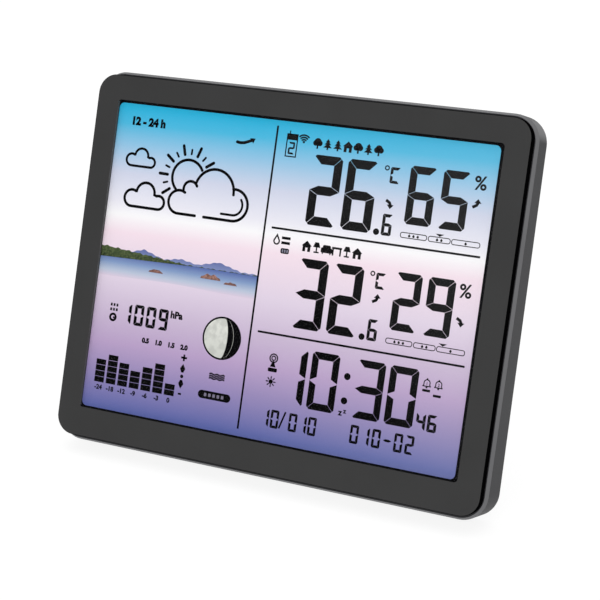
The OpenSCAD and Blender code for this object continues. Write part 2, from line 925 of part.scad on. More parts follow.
module kickstand() {
    color("#3a3b3d") stand_frame() difference() {
        union() {
            rod_x(barrel_r, -stand_w / 2, stand_w / 2, 0, 0);
            block([-stand_w / 2, -stand_t / 2, -stand_l], [stand_w / 2, stand_t / 2, 0]);
        }
        rod_x(pin_r + pin_gap, -stand_w / 2 - over, stand_w / 2 + over, 0, 0);
        slab(
            stand_w - 2 * stand_rim, stand_l - stand_hollow_top - stand_rim, stand_hollow_r,
            -stand_t, stand_t / 2 - stand_web, -(stand_l - stand_rim + stand_hollow_top) / 2
        );
        for (i = [0:grip_count - 1])
            translate([0, 0, stand_grip_up + i * grip_pitch - stand_l])
                block([-grip_w / 2, stand_t / 2 - grip_d, 0], [grip_w / 2, stand_t, grip_pitch / 2]);
    }
}

module hinge_pin() {
    color("#c4c7ca") standing() rear_frame() rod_x(pin_r, -pin_half, pin_half, pivot_y, pivot_z);
}

module stand_pad() {
    color("#1c1c1e") stand_frame() intersection() {
        rod_x(pad_r, -stand_w / 2, stand_w / 2, 0, -stand_l);
        block([-stand_w, -stand_t, -stand_l - stand_t], [stand_w, stand_t, -stand_l]);
    }
}

// Height of the table under the rear face, in the rear frame
function table_at(y) = (y * sin(tilt) - foot_proud) / cos(tilt);

module base_feet() {
    color("#1c1c1e") standing() rear_frame() for (side = [-1, 1])
        translate([side * foot_x, 0, 0]) rotate([90, 0, 90]) linear_extrude(foot_w, center = true)
            polygon([[0, table_at(0)], [foot_d, table_at(foot_d)], [foot_d, foot_h], [0, foot_h]]);
}

module cover_screws() {
    color("#9a9da1") standing() for (side = [-1, 1], z = boss_heights) {
        rod_y(screw_r, rear_at(z) - cover_t - pilot_l + over, head_seat(z), side * boss_x, z);
        difference() {
            rod_y(head_r, head_seat(z), head_seat(z) + head_t, side * boss_x, z);
            rod_y(
                drive_r, head_seat(z) + head_t / 2, head_seat(z) + head_t + over,
                side * boss_x, z, $fn = 6
            );
        }
    }
}

module board_screws() {
    back = board_face - board_t;
    color("#9a9da1") standing() rear_frame() for (side = [-1, 1], z = board_screw_heights) {
        rod_y(screw_r, back, -cover_t - fit_gap, side * board_screw_x, z);
        rod_y(head_r, back - head_t, back, side * board_screw_x, z);
    }
}

front_bezel();
front_frame();
window_gasket();
display_window();
lcd_panel();
color_film();
light_guide();
reflector_sheet();
backlight_strip();
display_chassis();
display_flex();
case_shell();
rear_cover();
main_board();
processor_chip();
pressure_sensor();
climate_sensor();
radio_module();
antenna_wire();
buzzer();
dc_jack();
tact_switches();
snooze_switch();
mode_key();
alarm_key();
channel_key();
up_key();
down_key();
history_key();
snooze_bar();
battery_cell_lower();
battery_cell_middle();
battery_cell_upper();
battery_springs();
battery_plates();
battery_door();
kickstand();
hinge_pin();
stand_pad();
base_feet();
cover_screws();
board_screws();
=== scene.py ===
"""Looks of a leaning home weather station console: materials, display, key marks, light and camera."""

import json
import math

import bmesh
import bpy
from mathutils import Matrix, Vector


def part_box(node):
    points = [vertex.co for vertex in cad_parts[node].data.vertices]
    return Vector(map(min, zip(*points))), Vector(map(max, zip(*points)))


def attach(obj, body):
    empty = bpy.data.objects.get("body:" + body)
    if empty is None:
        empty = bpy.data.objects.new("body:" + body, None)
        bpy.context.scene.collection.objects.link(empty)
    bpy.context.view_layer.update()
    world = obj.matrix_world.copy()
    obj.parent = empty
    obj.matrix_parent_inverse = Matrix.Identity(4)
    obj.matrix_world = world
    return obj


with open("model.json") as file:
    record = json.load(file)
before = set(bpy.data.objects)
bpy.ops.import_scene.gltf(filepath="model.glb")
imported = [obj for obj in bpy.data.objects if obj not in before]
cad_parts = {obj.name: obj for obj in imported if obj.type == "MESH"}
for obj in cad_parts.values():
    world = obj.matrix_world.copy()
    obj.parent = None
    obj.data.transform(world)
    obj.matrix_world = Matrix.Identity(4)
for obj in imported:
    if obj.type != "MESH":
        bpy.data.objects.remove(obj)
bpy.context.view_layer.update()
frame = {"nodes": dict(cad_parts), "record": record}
nodes = frame["nodes"]

MM = 0.001

# Directions of the leaning console
LEAN = math.radians(17.84)
REAR_TILT = math.radians(16.2855)
RIGHT = Vector((1, 0, 0))
FACE_UP = Vector((0, math.sin(LEAN), math.cos(LEAN)))
FACE_OUT = Vector((0, -math.cos(LEAN), math.sin(LEAN)))
REAR_UP = Vector((0, math.sin(REAR_TILT), math.cos(REAR_TILT)))
REAR_OUT = Vector((0, math.cos(REAR_TILT), -math.sin(REAR_TILT)))


def middle(node):
    """Middle of a CAD node's box."""
    low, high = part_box(node)
    return (low + high) / 2


def linear(red, green, blue):
    """Linear colour of an sRGB colour given from 0 to 255."""
    parts = []
    for value in (red, green, blue):
        share = value / 255
        parts.append(share / 12.92 if share <= 0.04045 else ((share + 0.055) / 1.055) ** 2.4)
    return tuple(parts)


# Material building blocks

# Radius over which each kind of material rounds its edges
PLASTIC_EDGE = 0.2 * MM
METAL_EDGE = 0.1 * MM
RUBBER_EDGE = 0.3 * MM


class Paint:
    """A material under construction: its node tree, its shader and the links between them."""

    def __init__(self, name):
        self.material = bpy.data.materials.new(name)
        self.material.use_nodes = True
        self.tree = self.material.node_tree
        self.shader = self.tree.nodes["Principled BSDF"]

    def node(self, kind, **settings):
        made = self.tree.nodes.new("ShaderNode" + kind)
        for key, value in settings.items():
            setattr(made, key, value)
        return made

    def link(self, output, target):
        self.tree.links.new(output, target)

    def set(self, **values):
        """Constant values on the shader's own sockets."""
        for key, value in values.items():
            self.shader.inputs[key.replace("_", " ")].default_value = value

    def place(self):
        """Coordinates in metres, fixed to the object."""
        return self.node("TexCoord").outputs["Object"]

    def noise(self, size, detail=2.0, roughness=0.5, stretch=(1, 1, 1)):
        """Noise whose features are about that many metres wide, longer where stretch is above one."""
        scaled = self.node("Mapping")
        scaled.inputs["Scale"].default_value = [1 / (size * share) for share in stretch]
        self.link(self.place(), scaled.inputs["Vector"])
        made = self.node("TexNoise")
        made.inputs["Scale"].default_value = 1.0
        made.inputs["Detail"].default_value = detail
        made.inputs["Roughness"].default_value = roughness
        self.link(scaled.outputs["Vector"], made.inputs["Vector"])
        return made.outputs["Fac"]

    def spread(self, value, low, high, to_low=0.0, to_high=1.0):
        """The value between low and high, mapped to another range."""
        made = self.node("MapRange")
        sockets = ("From Min", "From Max", "To Min", "To Max")
        for socket, number in zip(sockets, (low, high, to_low, to_high)):
            made.inputs[socket].default_value = number
        self.link(value, made.inputs["Value"])
        return made.outputs["Result"]

    def ramp(self, value, stops, stepped=False):
        """Colours along a value from 0 to 1, as (place, colour) pairs."""
        made = self.node("ValToRGB")
        if stepped:
            made.color_ramp.interpolation = "CONSTANT"
        elements = made.color_ramp.elements
        while len(elements) < len(stops):
            elements.new(0.5)
        for element, (at, colour) in zip(elements, stops):
            element.position = at
            element.color = (*colour, 1)
        self.link(value, made.inputs["Fac"])
        return made.outputs["Color"]

    def along(self, direction, low, high):
        """How far a point lies from low to high along a direction, from 0 to 1."""
        dot = self.node("VectorMath", operation="DOT_PRODUCT")
        dot.inputs[1].default_value = direction
        self.link(self.place(), dot.inputs[0])
        return self.spread(dot.outputs["Value"], low, high)

    def facing(self, direction, low, high):
        """How far the surface turns towards a direction, from 0 at low to 1 at high."""
        dot = self.node("VectorMath", operation="DOT_PRODUCT")
        dot.inputs[1].default_value = direction
        self.link(self.node("NewGeometry").outputs["Normal"], dot.inputs[0])
        return self.spread(dot.outputs["Value"], low, high)

    def multiply(self, first, second):
        made = self.node("Math", operation="MULTIPLY")
        self.link(first, made.inputs[0])
        self.link(second, made.inputs[1])
        return made.outputs["Value"]

    def mix(self, share, first, second):
        """Second colour over the first where share is one."""
        made = self.node("Mix", data_type="RGBA")
        under, over = [socket for socket in made.inputs if socket.type == "RGBA"]
        self.link(share, made.inputs["Factor"])
        self.link(first, under)
        self.link(second, over)
        return next(socket for socket in made.outputs if socket.type == "RGBA")

    def edges(self, radius):
        """Normals rounded over the edges, and a mask that is one along them."""
        rounded = self.node("Bevel", samples=6)
        rounded.inputs["Radius"].default_value = radius
        dot = self.node("VectorMath", operation="DOT_PRODUCT")
        self.link(rounded.outputs["Normal"], dot.inputs[0])
        self.link(self.node("NewGeometry").outputs["Normal"], dot.inputs[1])
        return rounded.outputs["Normal"], self.spread(dot.outputs["Value"], 0.995, 0.9)

    def bump(self, height, depth, normal=None):
        made = self.node("Bump")
        made.inputs["Distance"].default_value = depth
        self.link(height, made.inputs["Height"])
        if normal is not None:
            self.link(normal, made.inputs["Normal"])
        self.link(made.outputs["Normal"], self.shader.inputs["Normal"])


def shade(colour, share):
    """A colour made lighter or darker."""
    return tuple(min(1.0, part * share) for part in colour)


def moulded_plastic(name, colour, roughness, grain, depth, gloss=0.3, wear=1.5, zones=(), dull=None):
    """Injection moulded plastic: spark-textured grain, drifting tone and edges rubbed lighter.

    Each zone is a function that masks part of the surface, and that part's colour; some zones are painted
    light and painted highlights.
    The part that dull masks has no gloss.
    """
    paint = Paint(name)
    cloud = paint.noise(25 * MM)
    drift = paint.ramp(cloud, [(0.3, shade(colour, 0.94)), (0.7, shade(colour, 1.06))])
    rubbed = paint.ramp(paint.noise(3 * MM), [(0.3, shade(colour, 1.0)), (0.7, shade(colour, wear))])
    normal, mask = paint.edges(PLASTIC_EDGE)
    coat = paint.mix(mask, drift, rubbed)
    for where, tone in zones:
        other = paint.ramp(cloud, [(0.3, shade(tone, 0.94)), (0.7, shade(tone, 1.06))])
        coat = paint.mix(where(paint), coat, other)
    paint.link(coat, paint.shader.inputs["Base Color"])
    paint.set(Specular_IOR_Level=gloss)
    if dull is not None:
        paint.link(paint.spread(dull(paint), 0, 1, gloss, 0.0), paint.shader.inputs["Specular IOR Level"])
    texture = paint.noise(grain, detail=3)
    paint.link(
        paint.spread(texture, 0.3, 0.7, roughness - 0.05, roughness + 0.05),
        paint.shader.inputs["Roughness"],
    )
    paint.bump(texture, depth, normal)
    return paint.material


def metal(name, colour, roughness, stretch):
    """Plated or turned metal with fine drawing lines and a cloudy tarnish."""
    paint = Paint(name)
    lines = paint.noise(0.15 * MM, detail=3, stretch=stretch)
    clouds = paint.noise(4 * MM)
    paint.link(
        paint.ramp(clouds, [(0.3, shade(colour, 0.8)), (0.7, shade(colour, 1.1))]),
        paint.shader.inputs["Base Color"],
    )
    paint.link(
        paint.spread(lines, 0.3, 0.7, roughness - 0.08, roughness + 0.12),
        paint.shader.inputs["Roughness"],
    )
    normal, _ = paint.edges(METAL_EDGE)
    paint.bump(lines, 0.002 * MM, normal)
    paint.set(Metallic=1.0)
    return paint.material


def rubber(name, colour):
    """Dull rubber with a pebbled skin and a dusty bloom."""
    paint = Paint(name)
    pebbles = paint.noise(0.5 * MM, detail=2)
    bloom = paint.noise(6 * MM, detail=3)
    paint.link(
        paint.ramp(bloom, [(0.35, colour), (0.75, shade(colour, 1.8))]),
        paint.shader.inputs["Base Color"],
    )
    paint.link(paint.spread(pebbles, 0.3, 0.7, 0.75, 0.92), paint.shader.inputs["Roughness"])
    normal, _ = paint.edges(RUBBER_EDGE)
    paint.bump(pebbles, 0.02 * MM, normal)
    paint.set(Specular_IOR_Level=0.25)
    return paint.material


# Materials of the CAD nodes


def reach(node, direction):
    """Lowest and highest place of a CAD node along a direction."""
    places = [direction.dot(vertex.co) for vertex in nodes[node].data.vertices]
    return min(places), max(places)


# The display is measured in millimetres right and up from a point just over the front plate's middle
DISPLAY_RISE = 1.4 * MM
PLATE_MIDDLE = sum(reach("front_bezel", FACE_UP)) / 2
LCD_FRONT = reach("lcd_panel", FACE_OUT)[1]
LCD_MIDDLE = PLATE_MIDDLE + DISPLAY_RISE
BACKDROP_DRIFT = 0.012

# How strongly the display shines, the share of its colours that it reflects, and where a painted glare pales
# it from left to right
BACKLIGHT = 0.54
REFLECTED = 0.5
GLARE_SHARE = 0.06
GLARE_START = -20 * MM
GLARE_END = 85 * MM

# Backdrop colours by height on the display, from a violet dusk up to a clear blue sky
BACKDROP = [
    (-64, (94, 104, 168)),
    (-48, (152, 138, 185)),
    (-36, (185, 161, 200)),
    (-24, (202, 184, 211)),
    (-8, (226, 212, 230)),
    (11, (246, 226, 237)),
    (18.5, (252, 251, 253)),
    (24, (236, 235, 245)),
    (36, (210, 215, 234)),
    (48, (148, 198, 230)),
    (57, (78, 186, 225)),
    (64, (46, 182, 224)),
]


def backlit(name, colours, drift=0.0, speckle=None, glared=False):
    """Part of the lit picture: colours by height on the display, with a fine pixel-like mottle.

    With the glare option, a painted glare makes it a little paler towards the display's right edge.
    """
    paint = Paint(name)
    low, high = colours[0][0], colours[-1][0]
    stops = [((at - low) / (high - low), linear(*colour)) for at, colour in colours]
    height = paint.along(
        FACE_UP - drift * RIGHT,
        LCD_MIDDLE + low * MM,
        LCD_MIDDLE + high * MM,
    )
    colour = paint.ramp(height, stops)
    if speckle is not None:
        size, other, share = speckle
        mottle = paint.noise(size, detail=3)
        colour = paint.mix(
            paint.spread(mottle, 0.42, 0.62, 0.0, share),
            colour,
            paint.ramp(mottle, [(0.4, shade(linear(*other), 0.8)), (0.7, linear(*other))]),
        )
    # Painted glare: a pale mottled white, mixed in more towards the right edge
    if glared:
        haze = paint.ramp(paint.noise(20 * MM), [(0.3, (0.9, 0.9, 0.9)), (0.7, (1, 1, 1))])
        share = paint.spread(paint.along(RIGHT, GLARE_START, GLARE_END), 0, 1, 0, GLARE_SHARE)
        colour = paint.mix(share, colour, haze)
    dimmed = paint.node("VectorMath", operation="SCALE")
    dimmed.inputs["Scale"].default_value = REFLECTED
    paint.link(colour, dimmed.inputs[0])
    paint.link(dimmed.outputs["Vector"], paint.shader.inputs["Base Color"])
    paint.link(colour, paint.shader.inputs["Emission Color"])
    paint.link(paint.spread(paint.noise(0.3 * MM), 0.3, 0.7, 0.5, 0.6), paint.shader.inputs["Roughness"])
    paint.set(Emission_Strength=BACKLIGHT, Specular_IOR_Level=0.02)
    return paint.material


def clear_pane(name):
    """Clear acrylic pane: almost invisible, with a faint smear in its gloss."""
    paint = Paint(name)
    smear = paint.noise(12 * MM, detail=3, stretch=(3, 1, 1))
    paint.link(
        paint.ramp(smear, [(0.3, (0.02, 0.02, 0.022)), (0.7, (0.03, 0.03, 0.033))]),
        paint.shader.inputs["Base Color"],
    )
    paint.link(paint.spread(smear, 0.3, 0.7, 0.04, 0.1), paint.shader.inputs["Roughness"])
    paint.set(Alpha=0.03)
    return paint.material


def dotted_sheet(name, colour, dot_colour, pitch, alpha=1.0):
    """A light guide or diffuser with rows of tiny printed dots."""
    paint = Paint(name)
    scaled = paint.node("Mapping")
    scaled.inputs["Scale"].default_value = [1 / pitch] * 3
    paint.link(paint.place(), scaled.inputs["Vector"])
    cells = paint.node("TexVoronoi", feature="F1")
    cells.inputs["Scale"].default_value = 1.0
    cells.inputs["Randomness"].default_value = 0.1
    paint.link(scaled.outputs["Vector"], cells.inputs["Vector"])
    paint.link(
        paint.ramp(cells.outputs["Distance"], [(0.2, dot_colour), (0.3, colour)]),
        paint.shader.inputs["Base Color"],
    )
    dullness = paint.spread(cells.outputs["Distance"], 0.2, 0.3, 0.6, 0.25)
    paint.link(dullness, paint.shader.inputs["Roughness"])
    paint.set(Alpha=alpha)
    return paint.material


def solder_mask(name, colour, copper=(0.45, 0.3, 0.12)):
    """A circuit board: glossy mask over routed tracks, with bare pads where they meet."""
    paint = Paint(name)
    tracks = paint.node("TexBrick", offset=0.5)
    tracks.inputs["Color1"].default_value = (*shade(colour, 0.85), 1)
    tracks.inputs["Color2"].default_value = (*shade(colour, 1.15), 1)
    tracks.inputs["Mortar"].default_value = (*shade(colour, 1.9), 1)
    tracks.inputs["Scale"].default_value = 1.0
    tracks.inputs["Mortar Size"].default_value = 0.03
    flat = paint.node("Mapping")
    flat.inputs["Rotation"].default_value = (math.radians(90), 0, 0)
    flat.inputs["Scale"].default_value = [1 / (5 * MM)] * 3
    paint.link(paint.place(), flat.inputs["Vector"])
    paint.link(flat.outputs["Vector"], tracks.inputs["Vector"])
    spots = paint.node("TexVoronoi", feature="F1")
    spots.inputs["Scale"].default_value = 1 / (4 * MM)
    paint.link(paint.place(), spots.inputs["Vector"])
    pads = paint.spread(spots.outputs["Distance"], 0.16, 0.14)
    bare = paint.ramp(paint.noise(1 * MM), [(0.3, shade(copper, 0.8)), (0.7, copper)])
    paint.link(paint.mix(pads, tracks.outputs["Color"], bare), paint.shader.inputs["Base Color"])
    paint.link(paint.spread(paint.noise(2 * MM), 0.3, 0.7, 0.22, 0.38), paint.shader.inputs["Roughness"])
    paint.bump(tracks.outputs["Fac"], 0.02 * MM)
    return paint.material


def flat_cable(name):
    """Amber flex film with parallel copper tracks along its length."""
    paint = Paint(name)
    wave = paint.node("TexWave", bands_direction="X")
    wave.inputs["Scale"].default_value = 120
    paint.link(paint.place(), wave.inputs["Vector"])
    paint.link(
        paint.ramp(wave.outputs["Fac"], [(0.4, (0.42, 0.16, 0.02)), (0.6, (0.62, 0.3, 0.08))]),
        paint.shader.inputs["Base Color"],
    )
    paint.link(paint.spread(wave.outputs["Fac"], 0.3, 0.7, 0.25, 0.4), paint.shader.inputs["Roughness"])
    paint.bump(wave.outputs["Fac"], 0.01 * MM)
    return paint.material


def two_tone(name, node, direction, share, below, above, roughness, steel_above=True):
    """A part whose colour changes along a direction, such as a metal can on its base."""
    paint = Paint(name)
    low, high = reach(node, direction)
    split = low + (high - low) * share
    side = paint.along(direction, split - 0.02 * MM, split + 0.02 * MM)
    grain = paint.noise(0.8 * MM, detail=3)
    first = paint.ramp(grain, [(0.3, shade(below, 0.85)), (0.7, shade(below, 1.15))])
    second = paint.ramp(grain, [(0.3, shade(above, 0.85)), (0.7, shade(above, 1.15))])
    paint.link(paint.mix(side, first, second), paint.shader.inputs["Base Color"])
    paint.link(
        paint.spread(side, 0, 1, 0.0 if steel_above else 1.0, 1.0 if steel_above else 0.0),
        paint.shader.inputs["Metallic"],
    )
    paint.link(
        paint.spread(grain, 0.3, 0.7, roughness - 0.05, roughness + 0.08),
        paint.shader.inputs["Roughness"],
    )
    normal, _ = paint.edges(METAL_EDGE)
    paint.bump(grain, 0.004 * MM, normal)
    return paint.material


def cell_wrap(name, node):
    """A shrink-wrapped cell: a coloured band and a dark band along it, bare steel at the ends."""
    paint = Paint(name)
    low, high = reach(node, RIGHT)
    along = paint.along(RIGHT, low, high)
    steel, gold, dark = (0.55, 0.55, 0.56), (0.55, 0.34, 0.08), (0.03, 0.032, 0.036)
    stops = [(0.0, steel), (0.03, gold), (0.3, dark), (0.94, dark), (0.97, steel)]
    bands = paint.ramp(along, stops, stepped=True)
    scuff = paint.noise(2 * MM, detail=4, stretch=(4, 1, 1))
    paint.link(
        paint.mix(
            paint.spread(scuff, 0.55, 0.75, 0.0, 0.25),
            bands,
            paint.ramp(scuff, [(0.4, gold), (0.8, steel)]),
        ),
        paint.shader.inputs["Base Color"],
    )
    paint.link(paint.spread(scuff, 0.3, 0.7, 0.25, 0.4), paint.shader.inputs["Roughness"])
    paint.bump(scuff, 0.01 * MM)
    return paint.material


GREY_CASE = (0.032, 0.032, 0.035)
# Painted highlight on the case's front chamfer
CHAMFER_HIGHLIGHT_TONE = (0.15, 0.15, 0.156)
GREY_BEZEL = (0.032, 0.032, 0.0322)
# Painted light on the left wall of the bezel's opening
WALL_PAINTED_LIGHT = (0.1, 0.1, 0.1)
# Painted highlight on the case's upper corners
CORNER_HIGHLIGHT_TONE = (0.17, 0.17, 0.175)
BLACK = (0.0012, 0.0012, 0.0014)
STEEL = (0.58, 0.59, 0.6)
DRAWN_ACROSS = (12, 1, 1)

# Direction of the case's upper corners, where a highlight is painted, as shares across and up
CORNER_ACROSS = 0.8
CORNER_RISE = 0.6


def turned_edges(paint):
    """Edges of the bezel, which are black behind its grey face."""
    return paint.facing(FACE_OUT, 0.95, 0.85)


def left_wall_painted_light(paint):
    """Left wall of the bezel's opening, which gets painted light."""
    left_half = paint.along(RIGHT, 1 * MM, -1 * MM)
    return paint.multiply(paint.facing(RIGHT, 0.8, 0.9), left_half)


def chamfer_highlight(paint):
    """The case's front chamfer, which gets a painted highlight, lighter than its side walls."""
    return paint.multiply(paint.facing(FACE_OUT, 0.25, 0.35), paint.facing(FACE_OUT, 0.95, 0.9))


def upper_corner_highlight(paint, side):
    """An upper corner of the case, which gets a painted highlight."""
    slanted = side * CORNER_ACROSS + FACE_UP * CORNER_RISE
    slanted.normalize()
    return paint.facing(slanted, 0.85, 0.98)


def right_corner_highlight(paint):
    return upper_corner_highlight(paint, RIGHT)


def left_corner_highlight(paint):
    return upper_corner_highlight(paint, -RIGHT)


finishes = {
    "bezel_grey": moulded_plastic(
        "bezel_grey", GREY_BEZEL, 0.55, 0.35 * MM, 0.004 * MM, gloss=0.2, wear=1.1,
        # Zones: black sides, and painted light on the opening's left wall
        zones=((turned_edges, BLACK), (left_wall_painted_light, WALL_PAINTED_LIGHT)), dull=turned_edges,
    ),
    "neck_black": moulded_plastic("neck_black", BLACK, 0.6, 0.4 * MM, 0.003 * MM, gloss=0.0, wear=1.0),
    "gasket_foam": rubber("gasket_foam", (0.008, 0.008, 0.009)),
    "clear_pane": clear_pane("clear_pane"),
    # The backdrop carries the painted glare towards the right
    "lcd_glass": backlit("lcd_glass", BACKDROP, drift=BACKDROP_DRIFT, glared=True),
    "film": backlit("film", BACKDROP),
    "clear_acrylic": dotted_sheet("clear_acrylic", (0.8, 0.86, 0.88), (0.95, 0.95, 0.95), 1 * MM, 0.5),
    "white_sheet": dotted_sheet("white_sheet", (0.82, 0.82, 0.8), (0.74, 0.74, 0.72), 0.8 * MM),
    "flex": flat_cable("flex"),
    "case_grey": moulded_plastic(
        "case_grey", GREY_CASE, 0.5, 0.4 * MM, 0.006 * MM, gloss=0.1,
        # Zones: painted highlights on the front chamfer and the upper corners
        zones=(
            (chamfer_highlight, CHAMFER_HIGHLIGHT_TONE), (right_corner_highlight, CORNER_HIGHLIGHT_TONE), (left_corner_highlight, CORNER_HIGHLIGHT_TONE),
        ),
    ),
    "cover_grey": moulded_plastic("cover_grey", (0.04, 0.04, 0.042), 0.58, 0.6 * MM, 0.02 * MM),
    "stand_grey": moulded_plastic("stand_grey", (0.034, 0.034, 0.036), 0.45, 0.5 * MM, 0.008 * MM),
    "key_plastic": moulded_plastic("key_plastic", (0.02, 0.02, 0.022), 0.42, 0.4 * MM, 0.004 * MM),
    "board_green": solder_mask("board_green", (0.02, 0.13, 0.04)),
    "part_black": moulded_plastic("part_black", (0.012, 0.012, 0.013), 0.5, 0.3 * MM, 0.01 * MM),
    "sensor_white": moulded_plastic("sensor_white", (0.7, 0.7, 0.68), 0.5, 0.3 * MM, 0.006 * MM, wear=1.1),
    "copper": metal("copper", (0.65, 0.3, 0.14), 0.3, (1, 1, 12)),
    "switch_metal": metal("switch_metal", STEEL, 0.4, DRAWN_ACROSS),
    "contact_steel": metal("contact_steel", (0.66, 0.66, 0.65), 0.3, (1, 1, 12)),
    "screw_steel": metal("screw_steel", (0.3, 0.3, 0.31), 0.38, DRAWN_ACROSS),
    "rubber_black": rubber("rubber_black", (0.012, 0.012, 0.012)),
}
CAN_SHARE = 0.4
LEG_SHARE = 0.22
own_finishes = {
    "radio_module": two_tone(
        "radio_blue", "radio_module", REAR_OUT, CAN_SHARE, (0.02, 0.06, 0.18), STEEL, 0.35
    ),
    "processor_chip": two_tone(
        "chip_black", "processor_chip", REAR_OUT, LEG_SHARE, STEEL, (0.012, 0.012, 0.013), 0.45, False
    ),
}
CELLS = ("battery_cell_lower", "battery_cell_middle", "battery_cell_upper")
for cell in CELLS:
    own_finishes[cell] = cell_wrap("wrap_" + cell, cell)

for part in frame["record"]["subparts"]:
    finish = own_finishes.get(part["node"]) or finishes[part["material_slot"]]
    held = nodes[part["node"]].data.materials
    held.clear()
    held.append(finish)


# Shapes printed on the display


def ink(name, colour, glare_tone=None):
    """Flat ink with a trace of unevenness; a painted glare can make it paler towards the display's upper
    right.
    """
    paint = Paint(name)
    cloud = paint.noise(3 * MM)
    coat = paint.ramp(cloud, [(0.3, shade(colour, 0.8)), (0.7, shade(colour, 1.2))])
    if glare_tone is not None:
        glare_coat = paint.ramp(cloud, [(0.3, shade(glare_tone, 0.9)), (0.7, shade(glare_tone, 1.1))])
        # Painted glare over the ink, stronger towards the upper right
        rising = paint.along(RIGHT + FACE_UP, LCD_MIDDLE, LCD_MIDDLE + GLARE_REACH)
        coat = paint.mix(rising, coat, glare_coat)
    paint.link(coat, paint.shader.inputs["Base Color"])
    paint.link(paint.spread(cloud, 0.3, 0.7, 0.5, 0.7), paint.shader.inputs["Roughness"])
    paint.set(Specular_IOR_Level=0.02)
    return paint.material


# Heights of the printed layers over the glass
PEAKS_LIFT = 0.005 * MM
LAKE_LIFT = 0.008 * MM
WOODS_LIFT = 0.011 * MM
ISLANDS_LIFT = 0.014 * MM
MOON_LIFT = 0.02 * MM
INK_LIFT = 0.03 * MM
# The dark band around the lit picture is painted shade
SHADE_BAND_LIFT = 0.035 * MM
TAGS_LIFT = 0.04 * MM

# How far the painted glare over the ink reaches
GLARE_REACH = 110 * MM
INK = ink("segment_ink", (0.0012, 0.0011, 0.0015), glare_tone=(0.02, 0.0202, 0.021))
TURN_STEPS = 32


def arc(u, v, radius, start, end):
    """Points along an arc, with its angles in degrees from the right, anticlockwise."""
    steps = max(3, round(abs(end - start) / 360 * TURN_STEPS))
    points = []
    for i in range(steps + 1):
        angle = math.radians(start + (end - start) * i / steps)
        points.append((u + radius * math.cos(angle), v + radius * math.sin(angle)))
    return points


def circle(u, v, radius):
    return arc(u, v, radius, 0, 360)[:-1]


def box_points(u0, v0, u1, v1):
    return [(u0, v0), (u1, v0), (u1, v1), (u0, v1)]


def round_box(u0, v0, u1, v1, radius):
    """Outline of a box with round corners."""
    return (
        arc(u1 - radius, v1 - radius, radius, 0, 90)
        + arc(u0 + radius, v1 - radius, radius, 90, 180)
        + arc(u0 + radius, v0 + radius, radius, 180, 270)
        + arc(u1 - radius, v0 + radius, radius, 270, 360)
    )


def inset(points, gap):
    """A convex outline, given anticlockwise, moved inwards by a gap."""
    moved = []
    count = len(points)
    for i in range(count):
        before = Vector(points[i - 1])
        here = Vector(points[i])
        after = Vector(points[(i + 1) % count])
        first = (here - before).normalized()
        second = (after - here).normalized()
        inward = Vector((-first.y, first.x))
        other = Vector((-second.y, second.x))
        halfway = (inward + other).normalized()
        moved.append(tuple(here + halfway * gap / max(0.2, halfway.dot(inward))))
    return moved


